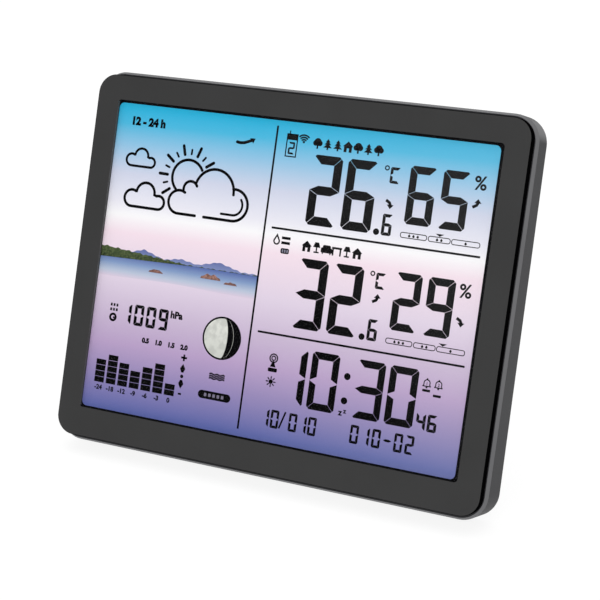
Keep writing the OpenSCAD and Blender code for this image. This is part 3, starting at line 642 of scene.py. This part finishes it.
class Print:
    """Flat shapes on the display or on another plane, gathered into one piece."""

    def __init__(self, name, origin, across, rise, out, lift):
        self.name = name
        self.origin = origin + out * lift
        self.across = across
        self.rise = rise
        self.mesh = bmesh.new()

    def at(self, point):
        return self.origin + self.across * point[0] * MM + self.rise * point[1] * MM

    def fill(self, points):
        """A filled outline."""
        corners = [self.mesh.verts.new(self.at(point)) for point in points]
        self.mesh.faces.new(corners)

    def between(self, inner, outer):
        """A filled frame between two outlines with the same number of points."""
        near = [self.mesh.verts.new(self.at(point)) for point in inner]
        away = [self.mesh.verts.new(self.at(point)) for point in outer]
        for i in range(len(near)):
            self.mesh.faces.new((near[i - 1], away[i - 1], away[i], near[i]))

    def stroke(self, points, width, closed=False, round_ends=True):
        """A line of even width through the points."""
        line = [Vector(point) for point in points]
        count = len(line)
        left, right = [], []
        for i in range(count):
            before = line[i - 1] if i > 0 or closed else None
            after = line[(i + 1) % count] if i < count - 1 or closed else None
            steps = []
            if before is not None:
                steps.append((line[i] - before).normalized())
            if after is not None:
                steps.append((after - line[i]).normalized())
            normals = [Vector((-step.y, step.x)) for step in steps]
            side = sum(normals, Vector((0, 0))).normalized()
            reach_out = width / 2 / max(0.35, side.dot(normals[0]))
            left.append(self.mesh.verts.new(self.at(line[i] + side * reach_out)))
            right.append(self.mesh.verts.new(self.at(line[i] - side * reach_out)))
        for i in range(count if closed else count - 1):
            j = (i + 1) % count
            self.mesh.faces.new((left[i], right[i], right[j], left[j]))
        if round_ends and not closed:
            for end, inner in ((line[0], line[1]), (line[-1], line[-2])):
                away = end - inner
                angle = math.degrees(math.atan2(away.y, away.x))
                self.fill(arc(end.x, end.y, width / 2, angle - 90, angle + 90))

    def disc(self, u, v, radius):
        self.fill(circle(u, v, radius))

    def ring(self, u, v, radius, width):
        self.stroke(circle(u, v, radius), width, closed=True)

    def label(self, text, u, v, height, bold=0.0, align="CENTER"):
        """Plain figures and signs, standing on v and centred on u or starting there."""
        capital = 0.73
        curve = bpy.data.curves.new("label", "FONT")
        curve.body = text
        curve.size = height / capital
        curve.align_x = align
        curve.offset = bold
        curve.resolution_u = 4
        holder = bpy.data.objects.new("label", curve)
        bpy.context.scene.collection.objects.link(holder)
        bpy.context.view_layer.update()
        drawn = bpy.data.meshes.new_from_object(holder)
        corners = [self.mesh.verts.new(self.at((u + p.co.x, v + p.co.y))) for p in drawn.vertices]
        for face in drawn.polygons:
            self.mesh.faces.new([corners[i] for i in face.vertices])
        bpy.data.objects.remove(holder)
        bpy.data.curves.remove(curve)
        bpy.data.meshes.remove(drawn)

    def make(self, material, body, slot):
        """The finished piece, riding on a body."""
        bmesh.ops.triangulate(self.mesh, faces=self.mesh.faces[:])
        data = bpy.data.meshes.new(self.name)
        self.mesh.to_mesh(data)
        self.mesh.free()
        data.materials.append(material)
        piece = bpy.data.objects.new(self.name, data)
        bpy.context.scene.collection.objects.link(piece)
        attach(piece, body)
        return piece


def on_display(name, lift):
    """An empty print in the narrow gap between the glass and the clear pane."""
    origin = FACE_UP * LCD_MIDDLE + FACE_OUT * LCD_FRONT
    return Print(name, origin, RIGHT, FACE_UP, FACE_OUT, lift)


# Seven-segment figures

SEGMENTS = {
    "0": "abcdef",
    "1": "bc",
    "2": "abdeg",
    "3": "abcdg",
    "4": "bcfg",
    "5": "acdfg",
    "6": "acdefg",
    "7": "abc",
    "8": "abcdefg",
    "9": "abcdfg",
    "C": "adef",
    "-": "g",
}

# Gap between segments, its share of their thickness, and the share cut off at a figure's corners
WIDEST_GAP = 0.08
GAP_SHARE = 0.02
CUT_SHARE = 0.4


def segment_outlines(w, h, t):
    """Outlines of the seven segments of a figure, each anticlockwise, with mitred ends."""
    cut = t * CUT_SHARE
    mid = h / 2
    half = t / 2
    return {
        "a": [
            (cut / 2, h - cut / 2), (t, h - t), (w - t, h - t), (w - cut / 2, h - cut / 2),
            (w - cut, h), (cut, h),
        ],
        "b": [
            (w - t, mid + half), (w, mid), (w, h - cut), (w - cut / 2, h - cut / 2), (w - t, h - t),
        ],
        "c": [
            (w - t, t), (w - cut / 2, cut / 2), (w, cut), (w, mid), (w - t, mid - half),
        ],
        "d": [
            (cut, 0), (w - cut, 0), (w - cut / 2, cut / 2), (w - t, t), (t, t), (cut / 2, cut / 2),
        ],
        "e": [
            (0, cut), (cut / 2, cut / 2), (t, t), (t, mid - half), (0, mid),
        ],
        "f": [
            (0, mid), (t, mid + half), (t, h - t), (cut / 2, h - cut / 2), (0, h - cut),
        ],
        "g": [
            (0, mid), (t, mid - half), (w - t, mid - half), (w, mid), (w - t, mid + half), (t, mid + half),
        ],
    }


def figures(sheet, text, places, base, w, h, t):
    """A row of seven-segment figures, each starting at its own place along the row."""
    outlines = segment_outlines(w, h, t)
    gap = min(WIDEST_GAP, t * GAP_SHARE)
    for sign, u in zip(text, places):
        for name in SEGMENTS[sign]:
            outline = inset(outlines[name], gap)
            sheet.fill([(u + x, base + y) for x, y in outline])


digits = on_display("lcd_digits", INK_LIFT)

# Two climate rows: temperature on the left, humidity on the right
TEMPERATURE_W = 13.3
TEMPERATURE_H = 28.5
TEMPERATURE_T = 3.8
HUMIDITY_W = 11.4
HUMIDITY_H = 23.2
HUMIDITY_T = 3.2
ROW_DROP = -42
UPPER_BASE = 24.2
UPPER_HUMIDITY = 29.8


def climate_figures(whole, tenth, humidity, drop):
    """One row: temperature, its tenth, humidity and their units."""
    figures(digits, whole, (6.1, 21.6), UPPER_BASE + drop, TEMPERATURE_W, TEMPERATURE_H, TEMPERATURE_T)
    digits.disc(37.4, UPPER_BASE + 1.1 + drop, 1.3)
    figures(digits, tenth, (39.4,), UPPER_BASE + drop, 4.3, 8.6, 1.35)
    figures(digits, humidity, (48.4, 62.3), UPPER_HUMIDITY + drop, HUMIDITY_W, HUMIDITY_H, HUMIDITY_T)
    digits.ring(38.5, 50.8 + drop, 0.8, 0.5)
    figures(digits, "C", (40.1,), 44.9 + drop, 4.2, 6.5, 1.2)
    digits.label("%", 77.8, 46.8 + drop, 5.5, bold=0.15)


climate_figures("26", "6", "65", 0)
climate_figures("32", "6", "29", ROW_DROP)

# Clock, seconds and the two date fields
CLOCK_W = 12.3
CLOCK_H = 23.6
CLOCK_T = 3.05
CLOCK_BASE = -49.2
figures(digits, "1030", (3.4, 17.5, 37.4, 51.5), CLOCK_BASE, CLOCK_W, CLOCK_H, CLOCK_T)
for colon_v in (-33.4, -43.2):
    digits.disc(33.7, colon_v, 1.4)
figures(digits, "46", (65, 69.7), CLOCK_BASE, 4, 6.9, 1.25)
DATE_W = 3.7
DATE_H = 7.5
DATE_T = 1.1
DATE_BASE = -59.6
figures(digits, "10010", (-1.7, 2.7, 10.9, 15.2, 19.5), DATE_BASE, DATE_W, DATE_H, DATE_T)
digits.stroke([(6.9, DATE_BASE + 0.4), (9.1, DATE_BASE + DATE_H)], 0.75, round_ends=False)
WEEK_PITCH = 4.75
week_places = [38.1 + WEEK_PITCH * i for i in range(6)]
figures(digits, "010-02", week_places, DATE_BASE + 0.2, DATE_W, DATE_H, DATE_T)

# Air pressure
PRESSURE_BASE = -28.2
PRESSURE_W = 4.6
PRESSURE_H = 8.9
PRESSURE_T = 1.45
PRESSURE_PLACES = (-72.6, -66.6, -60.7, -54.8)
figures(digits, "1009", PRESSURE_PLACES, PRESSURE_BASE, PRESSURE_W, PRESSURE_H, PRESSURE_T)
digits.make(INK, "console", "lcd_glass")


# Lines, boxes and marks between the figures
marks = on_display("lcd_marks", INK_LIFT)
RULE_W = 0.85
DIVIDER_U = -11.4
marks.stroke([(DIVIDER_U, -62.6), (DIVIDER_U, 62.3)], RULE_W, round_ends=False)
for rule_v in (21.1, -21.6):
    marks.stroke([(-8.2, rule_v), (81.7, rule_v)], RULE_W, round_ends=False)

COMFORT_BOXES = ((47.8, 58.9), (59.6, 68.7), (69.3, 80.9))
COMFORT_BASE = 24.5
COMFORT_H = 2


def comfort_scale(chosen, drop):
    """Three outlined boxes with one, two or three drops, and a pointer over one of them."""
    low = COMFORT_BASE + drop
    for i, (start, end) in enumerate(COMFORT_BOXES):
        outline = round_box(start, low, end, low + COMFORT_H, 0.85)
        marks.stroke(outline, 0.34, closed=True)
        drops = 3 - i
        for k in range(drops):
            place = (start + end) / 2 + (k - (drops - 1) / 2) * 1.8
            marks.fill(arc(place, low + 0.85, 0.5, 150, 390) + [(place, low + 1.65)])
    start, end = COMFORT_BOXES[chosen]
    pointer = start + 2.3 if chosen == 2 else (start + end) / 2
    top = low + COMFORT_H + 1.3
    marks.fill([(pointer, top - 1.05), (pointer + 1.8, top), (pointer - 1.8, top)])


def turning_arrow(u, v, sense):
    """A short bent arrow, upwards for sense 1 and downwards for sense -1."""
    bend = [(u - 1.5, v - 1.5 * sense), (u + 0.1, v - 0.6 * sense), (u + 0.6, v + 0.4 * sense)]
    marks.stroke(bend, 1.2, round_ends=False)
    tip = [(u + 0.5, v + 1.9 * sense), (u - 0.95, v + 0.2 * sense), (u + 2.0, v + 0.2 * sense)]
    marks.fill(tip if sense < 0 else tip[::-1])


comfort_scale(1, 0)
comfort_scale(2, ROW_DROP)
turning_arrow(41.3, 36.7, -1)
turning_arrow(77.2, 41.3, 1)
turning_arrow(41.3, -0.9, 1)
turning_arrow(77.2, -4.9, -1)

# Seven columns of stacked blocks, with hours under them and a plain scale over them
GRAPH_START = -82
GRAPH_BASE = -54.6
COLUMN_PITCH = 5.72
BLOCK_W = 4.75
BLOCK_H = 2.32
BLOCK_PITCH = 2.5
LABEL_H = 2
HOURS = ("-24", "-18", "-12", "-9", "-6", "-3", "0")
for i, (blocks, hours) in enumerate(zip((4, 5, 4, 3, 4, 5, 2), HOURS)):
    start = GRAPH_START + COLUMN_PITCH * i
    for k in range(blocks):
        low = GRAPH_BASE + BLOCK_PITCH * k
        marks.fill(box_points(start, low, start + BLOCK_W, low + BLOCK_H))
    marks.label(hours, start + BLOCK_W / 2, -57.6, LABEL_H, bold=0.13)
for k in range(4):
    marks.label(f"{0.5 + 0.5 * k:.1f}", -59.6 + 6.2 * k, -34.6, LABEL_H, bold=0.2)
marks.label("hPa", -49.3, -22.3, 2.9, bold=0.2, align="LEFT")

# Plus, up, dot, down and minus beside the columns
SCALE_U = -40.3
marks.stroke([(SCALE_U - 1.4, -37.9), (SCALE_U + 1.4, -37.9)], 0.85, round_ends=False)
marks.stroke([(SCALE_U, -39.3), (SCALE_U, -36.5)], 0.85, round_ends=False)
for tip_v, wide_v, tail_v in ((-40.4, -42.5, -44.1), (-50.9, -48.8, -47.2)):
    kite = [(SCALE_U, tip_v), (SCALE_U - 1.25, wide_v), (SCALE_U - 0.5, tail_v), (SCALE_U + 0.5, tail_v)]
    marks.fill(kite + [(SCALE_U + 1.25, wide_v)])
marks.disc(SCALE_U, -45.7, 0.75)
marks.stroke([(SCALE_U - 0.75, -53.1), (SCALE_U + 0.75, -53.1)], 0.8, round_ends=False)

# Height mark: a ring round a small disc, and two rows of bars over it
marks.ring(-76.8, -26.2, 1.35, 1.0)
marks.disc(-76.4, -26.3, 0.45)
for bar_v in (-20.9, -22.9):
    for k in range(3):
        marks.fill(box_points(-78.6 + 1.4 * k, bar_v - 0.6, -77.7 + 1.4 * k, bar_v + 0.6))

# Water level: three waves over a dark pill
for wave_v in (-42.4, -43.3, -44.2):
    crests = [(-27.4 + 0.4 * k, wave_v + 0.28 * math.sin(k * 0.92)) for k in range(18)]
    marks.stroke(crests, 0.65)
marks.fill(round_box(-31.7, -53, -16.5, -49.6, 1.68))

# Small pictograms that stand in the titles' places: outdoors on top, indoors below
PICTOGRAM_SCALE = 1.2
PINE = [
    [(-1.6, 0.7), (1.6, 0.7), (0, 2.2)],
    [(-1.25, 1.7), (1.25, 1.7), (0, 3.1)],
    [(-0.85, 2.6), (0.85, 2.6), (0, 3.7)],
    box_points(-0.3, 0, 0.3, 0.8),
]
LEAFY_TREE = [
    circle(0, 2.3, 1.3),
    circle(-0.8, 1.9, 0.95),
    circle(0.8, 1.9, 0.95),
    box_points(-0.3, 0, 0.3, 1.4),
]
HOUSE = [
    [(-1.9, 1.9), (1.9, 1.9), (0, 3.7)],
    box_points(-1.45, 0, -0.4, 1.95),
    box_points(0.4, 0, 1.45, 1.95),
    box_points(-0.5, 1.35, 0.5, 1.95),
]
LAMP = [
    [(-1.35, 1.9), (1.35, 1.9), (0.7, 3.6), (-0.7, 3.6)],
    box_points(-0.25, 0.3, 0.25, 2),
    box_points(-0.95, 0, 0.95, 0.5),
]
SOFA = [
    round_box(-1.5, 1.1, 1.5, 3.1, 0.6),
    round_box(-2.1, 0.45, -1.1, 2.2, 0.45),
    round_box(1.1, 0.45, 2.1, 2.2, 0.45),
    box_points(-1.4, 0.45, 1.4, 1.2),
    box_points(-1.6, 0, -1.2, 0.5),
    box_points(1.2, 0, 1.6, 0.5),
]
TABLE = [
    box_points(-1.8, 2.2, 1.8, 2.9),
    box_points(-1.63, 0, -1.07, 2.3),
    box_points(1.07, 0, 1.63, 2.3),
]
TITLE_PITCH = 4.45


def title(pictograms, u, v):
    """A row of filled pictograms."""
    for i, outlines in enumerate(pictograms):
        for outline in outlines:
            marks.fill([
                (u + TITLE_PITCH * i + x * PICTOGRAM_SCALE, v + y * PICTOGRAM_SCALE) for x, y in outline
            ])


title((LEAFY_TREE, PINE, PINE, HOUSE, LEAFY_TREE, PINE, LEAFY_TREE), 7.2, 54.9)
title((HOUSE, LAMP, SOFA, TABLE, LAMP, HOUSE), 8.4, 13.4)

# Sensor with its channel number and waves
marks.stroke(box_points(-6.55, 50.5, -1.95, 59.5), 0.5, closed=True)
marks.fill(box_points(-6.7, 57.2, -1.8, 59.6))
marks.stroke([(-5.5, 59.5), (-5.5, 60.9)], 0.45, round_ends=False)
figures(marks, "2", (-5.65,), 51.4, 2.9, 5, 0.8)
for wave_r in (1.25, 2.15, 3.05):
    marks.stroke(arc(0.95, 56.7, wave_r, 48, 132), 0.65)
marks.disc(0.95, 56.95, 0.5)

# Damp warning: a drop beside two bars, over a dark tag
marks.stroke(arc(-5.2, 15.9, 1.2, 150, 390) + [(-5.2, 18.4)], 0.65, closed=True)
for bar_v in (17.6, 15.6):
    marks.fill(box_points(-3, bar_v - 0.6, 0.9, bar_v + 0.5))
marks.fill(round_box(-2.9, 11.2, 0.9, 13.4, 0.7))

# Radio clock mast and night light beside the time
marks.ring(0.6, -31.4, 1.7, 0.55)
marks.ring(0.6, -31.4, 0.85, 0.5)
marks.fill([(-0.7, -35), (1.9, -35), (0.6, -32)])
marks.fill(round_box(-1.4, -37, 2.7, -35.4, 0.4))
marks.disc(0.6, -41, 0.95)
for k in range(8):
    turn = math.radians(45 * k)
    ray = [(0.6 + r * math.cos(turn), -41 + r * math.sin(turn)) for r in (1.3, 2)]
    marks.stroke(ray, 0.5)


def bell(u, v, number):
    """An alarm bell with its number."""
    dome = arc(u, v + 1.3, 1.25, 180, 0)
    marks.stroke([(u - 1.6, v), (u - 1.2, v + 0.6), *dome, (u + 1.2, v + 0.6), (u + 1.6, v)], 0.42)
    marks.stroke([(u - 1.6, v), (u + 1.6, v)], 0.42)
    marks.disc(u, v + 2.85, 0.35)
    marks.disc(u, v - 0.45, 0.4)
    marks.label(number, u, v + 0.5, 1.25, bold=0.03)


bell(67.4, -31.6, "1")
bell(72.3, -31.5, "2")
marks.fill(round_box(65.8, -33.8, 69.1, -32.8, 0.25))
marks.fill(round_box(70.5, -35.3, 73.8, -34.3, 0.25))
marks.label("z", 32.7, -49.2, 2.6, bold=0.12)
marks.label("z", 34.6, -48.1, 2, bold=0.1)

# Trend arrow and the hours that the forecast covers
marks.stroke([(-28.9, 53.8), (-27.3, 53.6), (-25.6, 53.8), (-24, 54.4), (-22.3, 55.1)], 1.25)
marks.fill([(-20.7, 56), (-23.3, 55.9), (-21.6, 53.9)])
marks.label("12 - 24 h", -71.7, 55.9, 3.3, bold=0.3)

# Weather picture: a sun behind a large cloud, and two small clouds
CLOUD_STROKE = 1.2


def small_cloud(u, v, scale, width):
    """A cloud on a straight base that starts at u, v."""
    lobes = ((0.1, 2.5, 2.5, 268, 62), (4.7, 4.4, 3.15, 174, -3), (9.4, 2.05, 2.05, 112, -90))
    outline = []
    for across, rise, radius, start, end in lobes:
        outline += arc(u + across * scale, v + rise * scale, radius * scale, start, end)
    marks.stroke(outline, width, closed=True)


small_cloud(-77.6, 38.6, 1.0, 1.05)
small_cloud(-75.3, 21.6, 1.39, CLOUD_STROKE)

SUN = (-49.7, 36.6)
marks.stroke(arc(*SUN, 7.35, 30, 229), CLOUD_STROKE)
for k in range(11):
    turn = math.radians(33 + 18.2 * k)
    near, far, width = (9.7, 13.4, 1.3) if k % 2 == 0 else (9.8, 11.6, 0.9)
    ray = [(SUN[0] + r * math.cos(turn), SUN[1] + r * math.sin(turn)) for r in (near, far)]
    marks.stroke(ray, width)
CLOUD_BASE = 21.25
marks.stroke([(-44.1, CLOUD_BASE), (-52.6, CLOUD_BASE), *arc(-52.5, 26.1, 4.85, 268, 60)], CLOUD_STROKE)
marks.stroke(arc(-47.7, 32.0, 3.25, 190, 28), CLOUD_STROKE)
marks.stroke(arc(-36.6, 32.3, 9.15, 166, -2), CLOUD_STROKE)
marks.stroke([*arc(-26.9, 27.8, 6.55, 98, -90), (-40, CLOUD_BASE)], CLOUD_STROKE)
marks.stroke([*arc(-26.9, 27.8, 4.15, 38, -90), (-32.1, 23.65)], 1)

# Moon disc: dark limb and two dark crescents over a lit face
MOON = (-24.1, -27.1)
MOON_R = 8.6
marks.ring(*MOON, MOON_R, 0.75)


def crescent(inner, outer):
    """Dark part of the moon between two shares of its half width."""
    heights = [math.radians(-88 + 8 * k) for k in range(23)]
    near = [(MOON[0] + MOON_R * inner * math.cos(a), MOON[1] + MOON_R * math.sin(a)) for a in heights]
    away = [(MOON[0] + MOON_R * outer * math.cos(a), MOON[1] + MOON_R * math.sin(a)) for a in heights]
    marks.fill(near + away[::-1])


crescent(0.3, 0.615)
crescent(0.63, 0.955)
marks.make(INK, "console", "lcd_glass")

moon_face = on_display("lcd_moon", MOON_LIFT)
moon_face.disc(*MOON, MOON_R)
moon_paint = backlit(
    "moon_face", [(-36, (204, 206, 200)), (-18, (230, 231, 224))], speckle=(3.4 * MM, (188, 190, 184), 0.6)
)
moon_face.make(moon_paint, "console", "lcd_glass")

# Pale lights left open in the dark tags
tags = on_display("lcd_tags", TAGS_LIFT)
for k in range(5):
    tags.fill(round_box(-28.9 + 2 * k, -52, -27.7 + 2 * k, -50.6, 0.3))
for k in range(3):
    tags.fill(box_points(-2.3 + 1.05 * k, 11.7, -1.7 + 1.05 * k, 12.9))
tags.make(backlit("tag_light", [(-60, (118, 112, 132)), (60, (150, 152, 168))]), "console", "lcd_glass")

# Picture band of the left column: far blue peaks, low green woods and a pale lake with islands
BAND_LEFT = -87
BAND_RIGHT = -11.7
BAND_STEPS = 90


def band(name, lift, top, bottom, colours, speckle=None):
    """A strip across the left column between two heights that change along it."""
    strip = on_display(name, lift)
    places = [BAND_LEFT + (BAND_RIGHT - BAND_LEFT) * k / BAND_STEPS for k in range(BAND_STEPS + 1)]
    for start, end in zip(places, places[1:]):
        if top(start) > bottom(start) or top(end) > bottom(end):
            strip.fill([(start, bottom(start)), (end, bottom(end)), (end, top(end)), (start, top(start))])
    strip.make(backlit(name, colours, speckle=speckle), "console", "lcd_glass")


def peaks(u):
    """Outline of three far peaks."""
    heights = [3.6 - abs(u + 30) * 0.24, 2.6 - abs(u + 48) * 0.17, 4.2 - abs(u + 66) * 0.3]
    return max(1.0, *heights) + 0.2 * math.sin(u * 1.7)


def woods(u):
    """Outline of the woods, rising to the left."""
    return 0.2 + max(0.0, (-44 - u) * 0.075) + 0.45 * abs(math.sin(u * 0.62)) + 0.2 * math.sin(u * 2.3)


def shore(u):
    """Where the woods meet the lake."""
    return min(woods(u), 0.3 - max(0.0, (-40 - u) * 0.03))


def lake_edge(u):
    """Where the lake fades into the haze below."""
    return -8.6 + 0.4 * math.sin(u * 0.09)


band("lcd_peaks", PEAKS_LIFT, peaks, lambda u: -1.5, [(-1.5, (138, 152, 196)), (4.5, (96, 108, 162))])
band(
    "lcd_lake", LAKE_LIFT, lambda u: 0.4, lake_edge,
    [(-9, (220, 205, 224)), (-6.4, (188, 199, 219)), (-3, (134, 158, 198)), (0.4, (88, 106, 168))],
)
band(
    "lcd_woods", WOODS_LIFT, woods, shore,
    [(-2, (34, 46, 36)), (4, (70, 86, 54))], speckle=(0.8 * MM, (98, 110, 72), 0.8),
)


def island(sheet, u, v, half, height):
    """A low lumpy island on a straight water line."""
    ridge = []
    for k in range(25):
        x = 1 - k / 12
        lump = 0.85 + 0.15 * math.sin(9 * x + u)
        ridge.append((u + half * x, v + height * lump * math.sqrt(1 - x * x)))
    sheet.fill(ridge)


islands = on_display("lcd_islands", ISLANDS_LIFT)
for place, water_line, half, height in ((-33, -3.9, 4.8, 2.4), (-23.5, -5, 3.1, 1.3), (-59, -4.8, 3.5, 1.5)):
    island(islands, place, water_line, half, height)
island_rock = backlit(
    "island_rock", [(-6, (118, 84, 80)), (-1, (186, 140, 124))], speckle=(0.9 * MM, (98, 74, 70), 0.8)
)
islands.make(island_rock, "console", "lcd_glass")

# Painted shade: a dark band around the lit picture, widest at the right, in place of the shade in the
# bezel's recess; its inner outline has round corners
edge = on_display("lcd_shade_band", SHADE_BAND_LIFT)
edge.between(round_box(-86.6, -65.6, 84.05, 64.5, 2.2), round_box(-87.6, -67.6, 87.6, 67.1, 0.5))
edge.make(ink("painted_shade_band", (0.006, 0.006, 0.007)), "console", "lcd_glass")


# Marks on the rear, drawn for someone who looks from behind
PAD_PRINT = ink("pad_print", (0.42, 0.43, 0.45))
LEFT = -RIGHT
SIGN_STROKE = 0.35


def behind_plane(name, x, rise, out, lift=0.02 * MM):
    """An empty print on the rear side, at a width, a height up the cover and a depth."""
    return Print(name, RIGHT * x + REAR_UP * rise + REAR_OUT * out, LEFT, REAR_UP, REAR_OUT, lift)


def key_sign(node, strokes, outlines):
    """A small sign printed on a key's cap."""
    low, high = reach(node, REAR_UP)
    sheet = behind_plane(node + "_sign", middle(node).x, (low + high) / 2, reach(node, REAR_OUT)[1])
    for points, closed in strokes:
        sheet.stroke(points, SIGN_STROKE, closed=closed)
    for points in outlines:
        sheet.fill(points)
    sheet.make(PAD_PRINT, node, "key_plastic")


UP_SIGN = [(-1.5, -1), (1.5, -1), (0, 1.4)]
DOWN_SIGN = [(-1.5, 1), (0, -1.4), (1.5, 1)]
BELL_SIGN = [(-1.4, -0.9), *arc(0, 0.2, 1, 180, 0), (1.4, -0.9)]
key_sign("mode_key", [(box_points(-1.3, -1, 1.3, 1), True)], [box_points(-0.6, -0.4, 0.6, 0.4)])
key_sign("alarm_key", [(BELL_SIGN, True)], [circle(0, -1.3, 0.3)])
RADIO_SIGN = [(arc(0, -1, 1.1, 40, 140), False), (arc(0, -1, 2, 40, 140), False)]
key_sign("channel_key", RADIO_SIGN, [circle(0, -0.8, 0.35)])
key_sign("up_key", [], [UP_SIGN])
key_sign("down_key", [], [DOWN_SIGN])
key_sign("history_key", [(circle(0, 0, 1.4), True), ([(0.7, 0), (0, 0), (0, 0.9)], False)], [])

# Opening arrow on the battery door
DOOR_LOW = reach("battery_door", REAR_UP)[0]
DOOR_OUT = reach("battery_door", REAR_OUT)[1]
arrow = behind_plane("door_arrow", 0, DOOR_LOW, DOOR_OUT)
arrow.stroke([(-3.2, 17), (0, 20.5), (3.2, 17)], 0.8)
arrow.stroke([(-3.2, 20.5), (0, 24), (3.2, 20.5)], 0.8)
arrow.make(ink("door_mark", (0.085, 0.085, 0.088)), "door", "cover_grey")

# Polarity sign beside the power socket
HOUSING_DEPTH = 14 * MM
COVER_OUT = reach("rear_cover", REAR_OUT)[1] - HOUSING_DEPTH
sign = behind_plane("socket_sign", 54 * MM, REAR_UP.dot(middle("dc_jack")), COVER_OUT)
sign.ring(-3.4, 0, 1.1, 0.3)
sign.stroke([(-3.9, 0), (-2.9, 0)], 0.3)
sign.stroke([(-2.3, 0), (-1.1, 0)], 0.3)
sign.stroke(arc(0, 0, 1.1, 40, 320), 0.3)
sign.disc(0, 0, 0.45)
sign.stroke([(0, 0), (2.3, 0)], 0.3)
sign.ring(3.4, 0, 1.1, 0.3)
sign.stroke([(2.9, 0), (3.9, 0)], 0.3)
sign.stroke([(3.4, -0.5), (3.4, 0.5)], 0.3)
sign.make(PAD_PRINT, "console", "cover_grey")


# Floor, light and camera

FLOOR_HALF = 40.0
FLOOR_DROP = 0.2 * MM
FLOOR_GLOW = 0.88
FLOOR_DARK = (0.155, 0.155, 0.155)
FLOOR_LIGHT = (0.165, 0.165, 0.165)
floor_mesh = bmesh.new()
bmesh.ops.create_grid(floor_mesh, x_segments=8, y_segments=8, size=FLOOR_HALF)
floor_data = bpy.data.meshes.new("floor")
floor_mesh.to_mesh(floor_data)
floor_mesh.free()
floor = bpy.data.objects.new("floor", floor_data)
floor.location.z = -FLOOR_DROP
bpy.context.scene.collection.objects.link(floor)
floor_paint = Paint("pale_floor")
floor_paint.link(
    floor_paint.ramp(floor_paint.noise(0.5), [(0.3, FLOOR_DARK), (0.7, FLOOR_LIGHT)]),
    floor_paint.shader.inputs["Base Color"],
)
floor_paint.set(
    Roughness=0.9, Specular_IOR_Level=0.0, Emission_Color=(1, 1, 1, 1), Emission_Strength=FLOOR_GLOW,
)
floor_data.materials.append(floor_paint.material)

SKY_STRENGTH = 0.6
world = bpy.data.worlds.new("studio")
world.use_nodes = True
world.node_tree.nodes["Background"].inputs["Color"].default_value = (1, 1, 1, 1)
world.node_tree.nodes["Background"].inputs["Strength"].default_value = SKY_STRENGTH
bpy.context.scene.world = world
bpy.context.scene.view_settings.view_transform = "Standard"


def soft_light(name, place, target, width, power):
    """A square studio light that faces a target."""
    data = bpy.data.lights.new(name, "AREA")
    data.shape = "SQUARE"
    data.size = width
    data.energy = power
    lamp_object = bpy.data.objects.new(name, data)
    lamp_object.location = place
    aim = Vector(target) - Vector(place)
    lamp_object.rotation_euler = aim.to_track_quat("-Z", "Y").to_euler()
    bpy.context.scene.collection.objects.link(lamp_object)


CENTRE = (0, 0, 0.08)
soft_light("top_light", (0.0, -0.2, 1.6), CENTRE, 1.6, 12)
soft_light("front_light", (0.3, -1.7, 0.6), CENTRE, 1.2, 6)
soft_light("back_light", (-0.4, 1.4, 1.1), CENTRE, 1.2, 5)

# Camera fitted to the photograph's edges of the front plate
VIEW_TURN = math.radians(26.0)
VIEW_RISE = math.radians(19.53)
VIEW_DISTANCE = 685 * MM
VIEW_SHIFT_RIGHT = 8.2 * MM
VIEW_SHIFT_UP = -6.1 * MM
FOCAL_PIXELS = 1695.5
IMAGE_PIXELS = 600
SENSOR = 36.0

plate_centre = FACE_UP * PLATE_MIDDLE + FACE_OUT * reach("front_bezel", FACE_OUT)[1]
view_right = Vector((math.cos(VIEW_TURN), math.sin(VIEW_TURN), 0))
view_back = Vector((
    math.sin(VIEW_TURN) * math.cos(VIEW_RISE),
    -math.cos(VIEW_TURN) * math.cos(VIEW_RISE),
    math.sin(VIEW_RISE),
))
view_up = view_back.cross(view_right)
camera_data = bpy.data.cameras.new("camera")
camera_data.sensor_fit = "HORIZONTAL"
camera_data.sensor_width = SENSOR
camera_data.lens = SENSOR * FOCAL_PIXELS / IMAGE_PIXELS
camera = bpy.data.objects.new("camera", camera_data)
camera.matrix_world = Matrix.Translation(
    plate_centre + view_back * VIEW_DISTANCE + view_right * VIEW_SHIFT_RIGHT + view_up * VIEW_SHIFT_UP
) @ Matrix((view_right, view_up, view_back)).transposed().to_4x4()
bpy.context.scene.collection.objects.link(camera)
bpy.context.scene.camera = camera
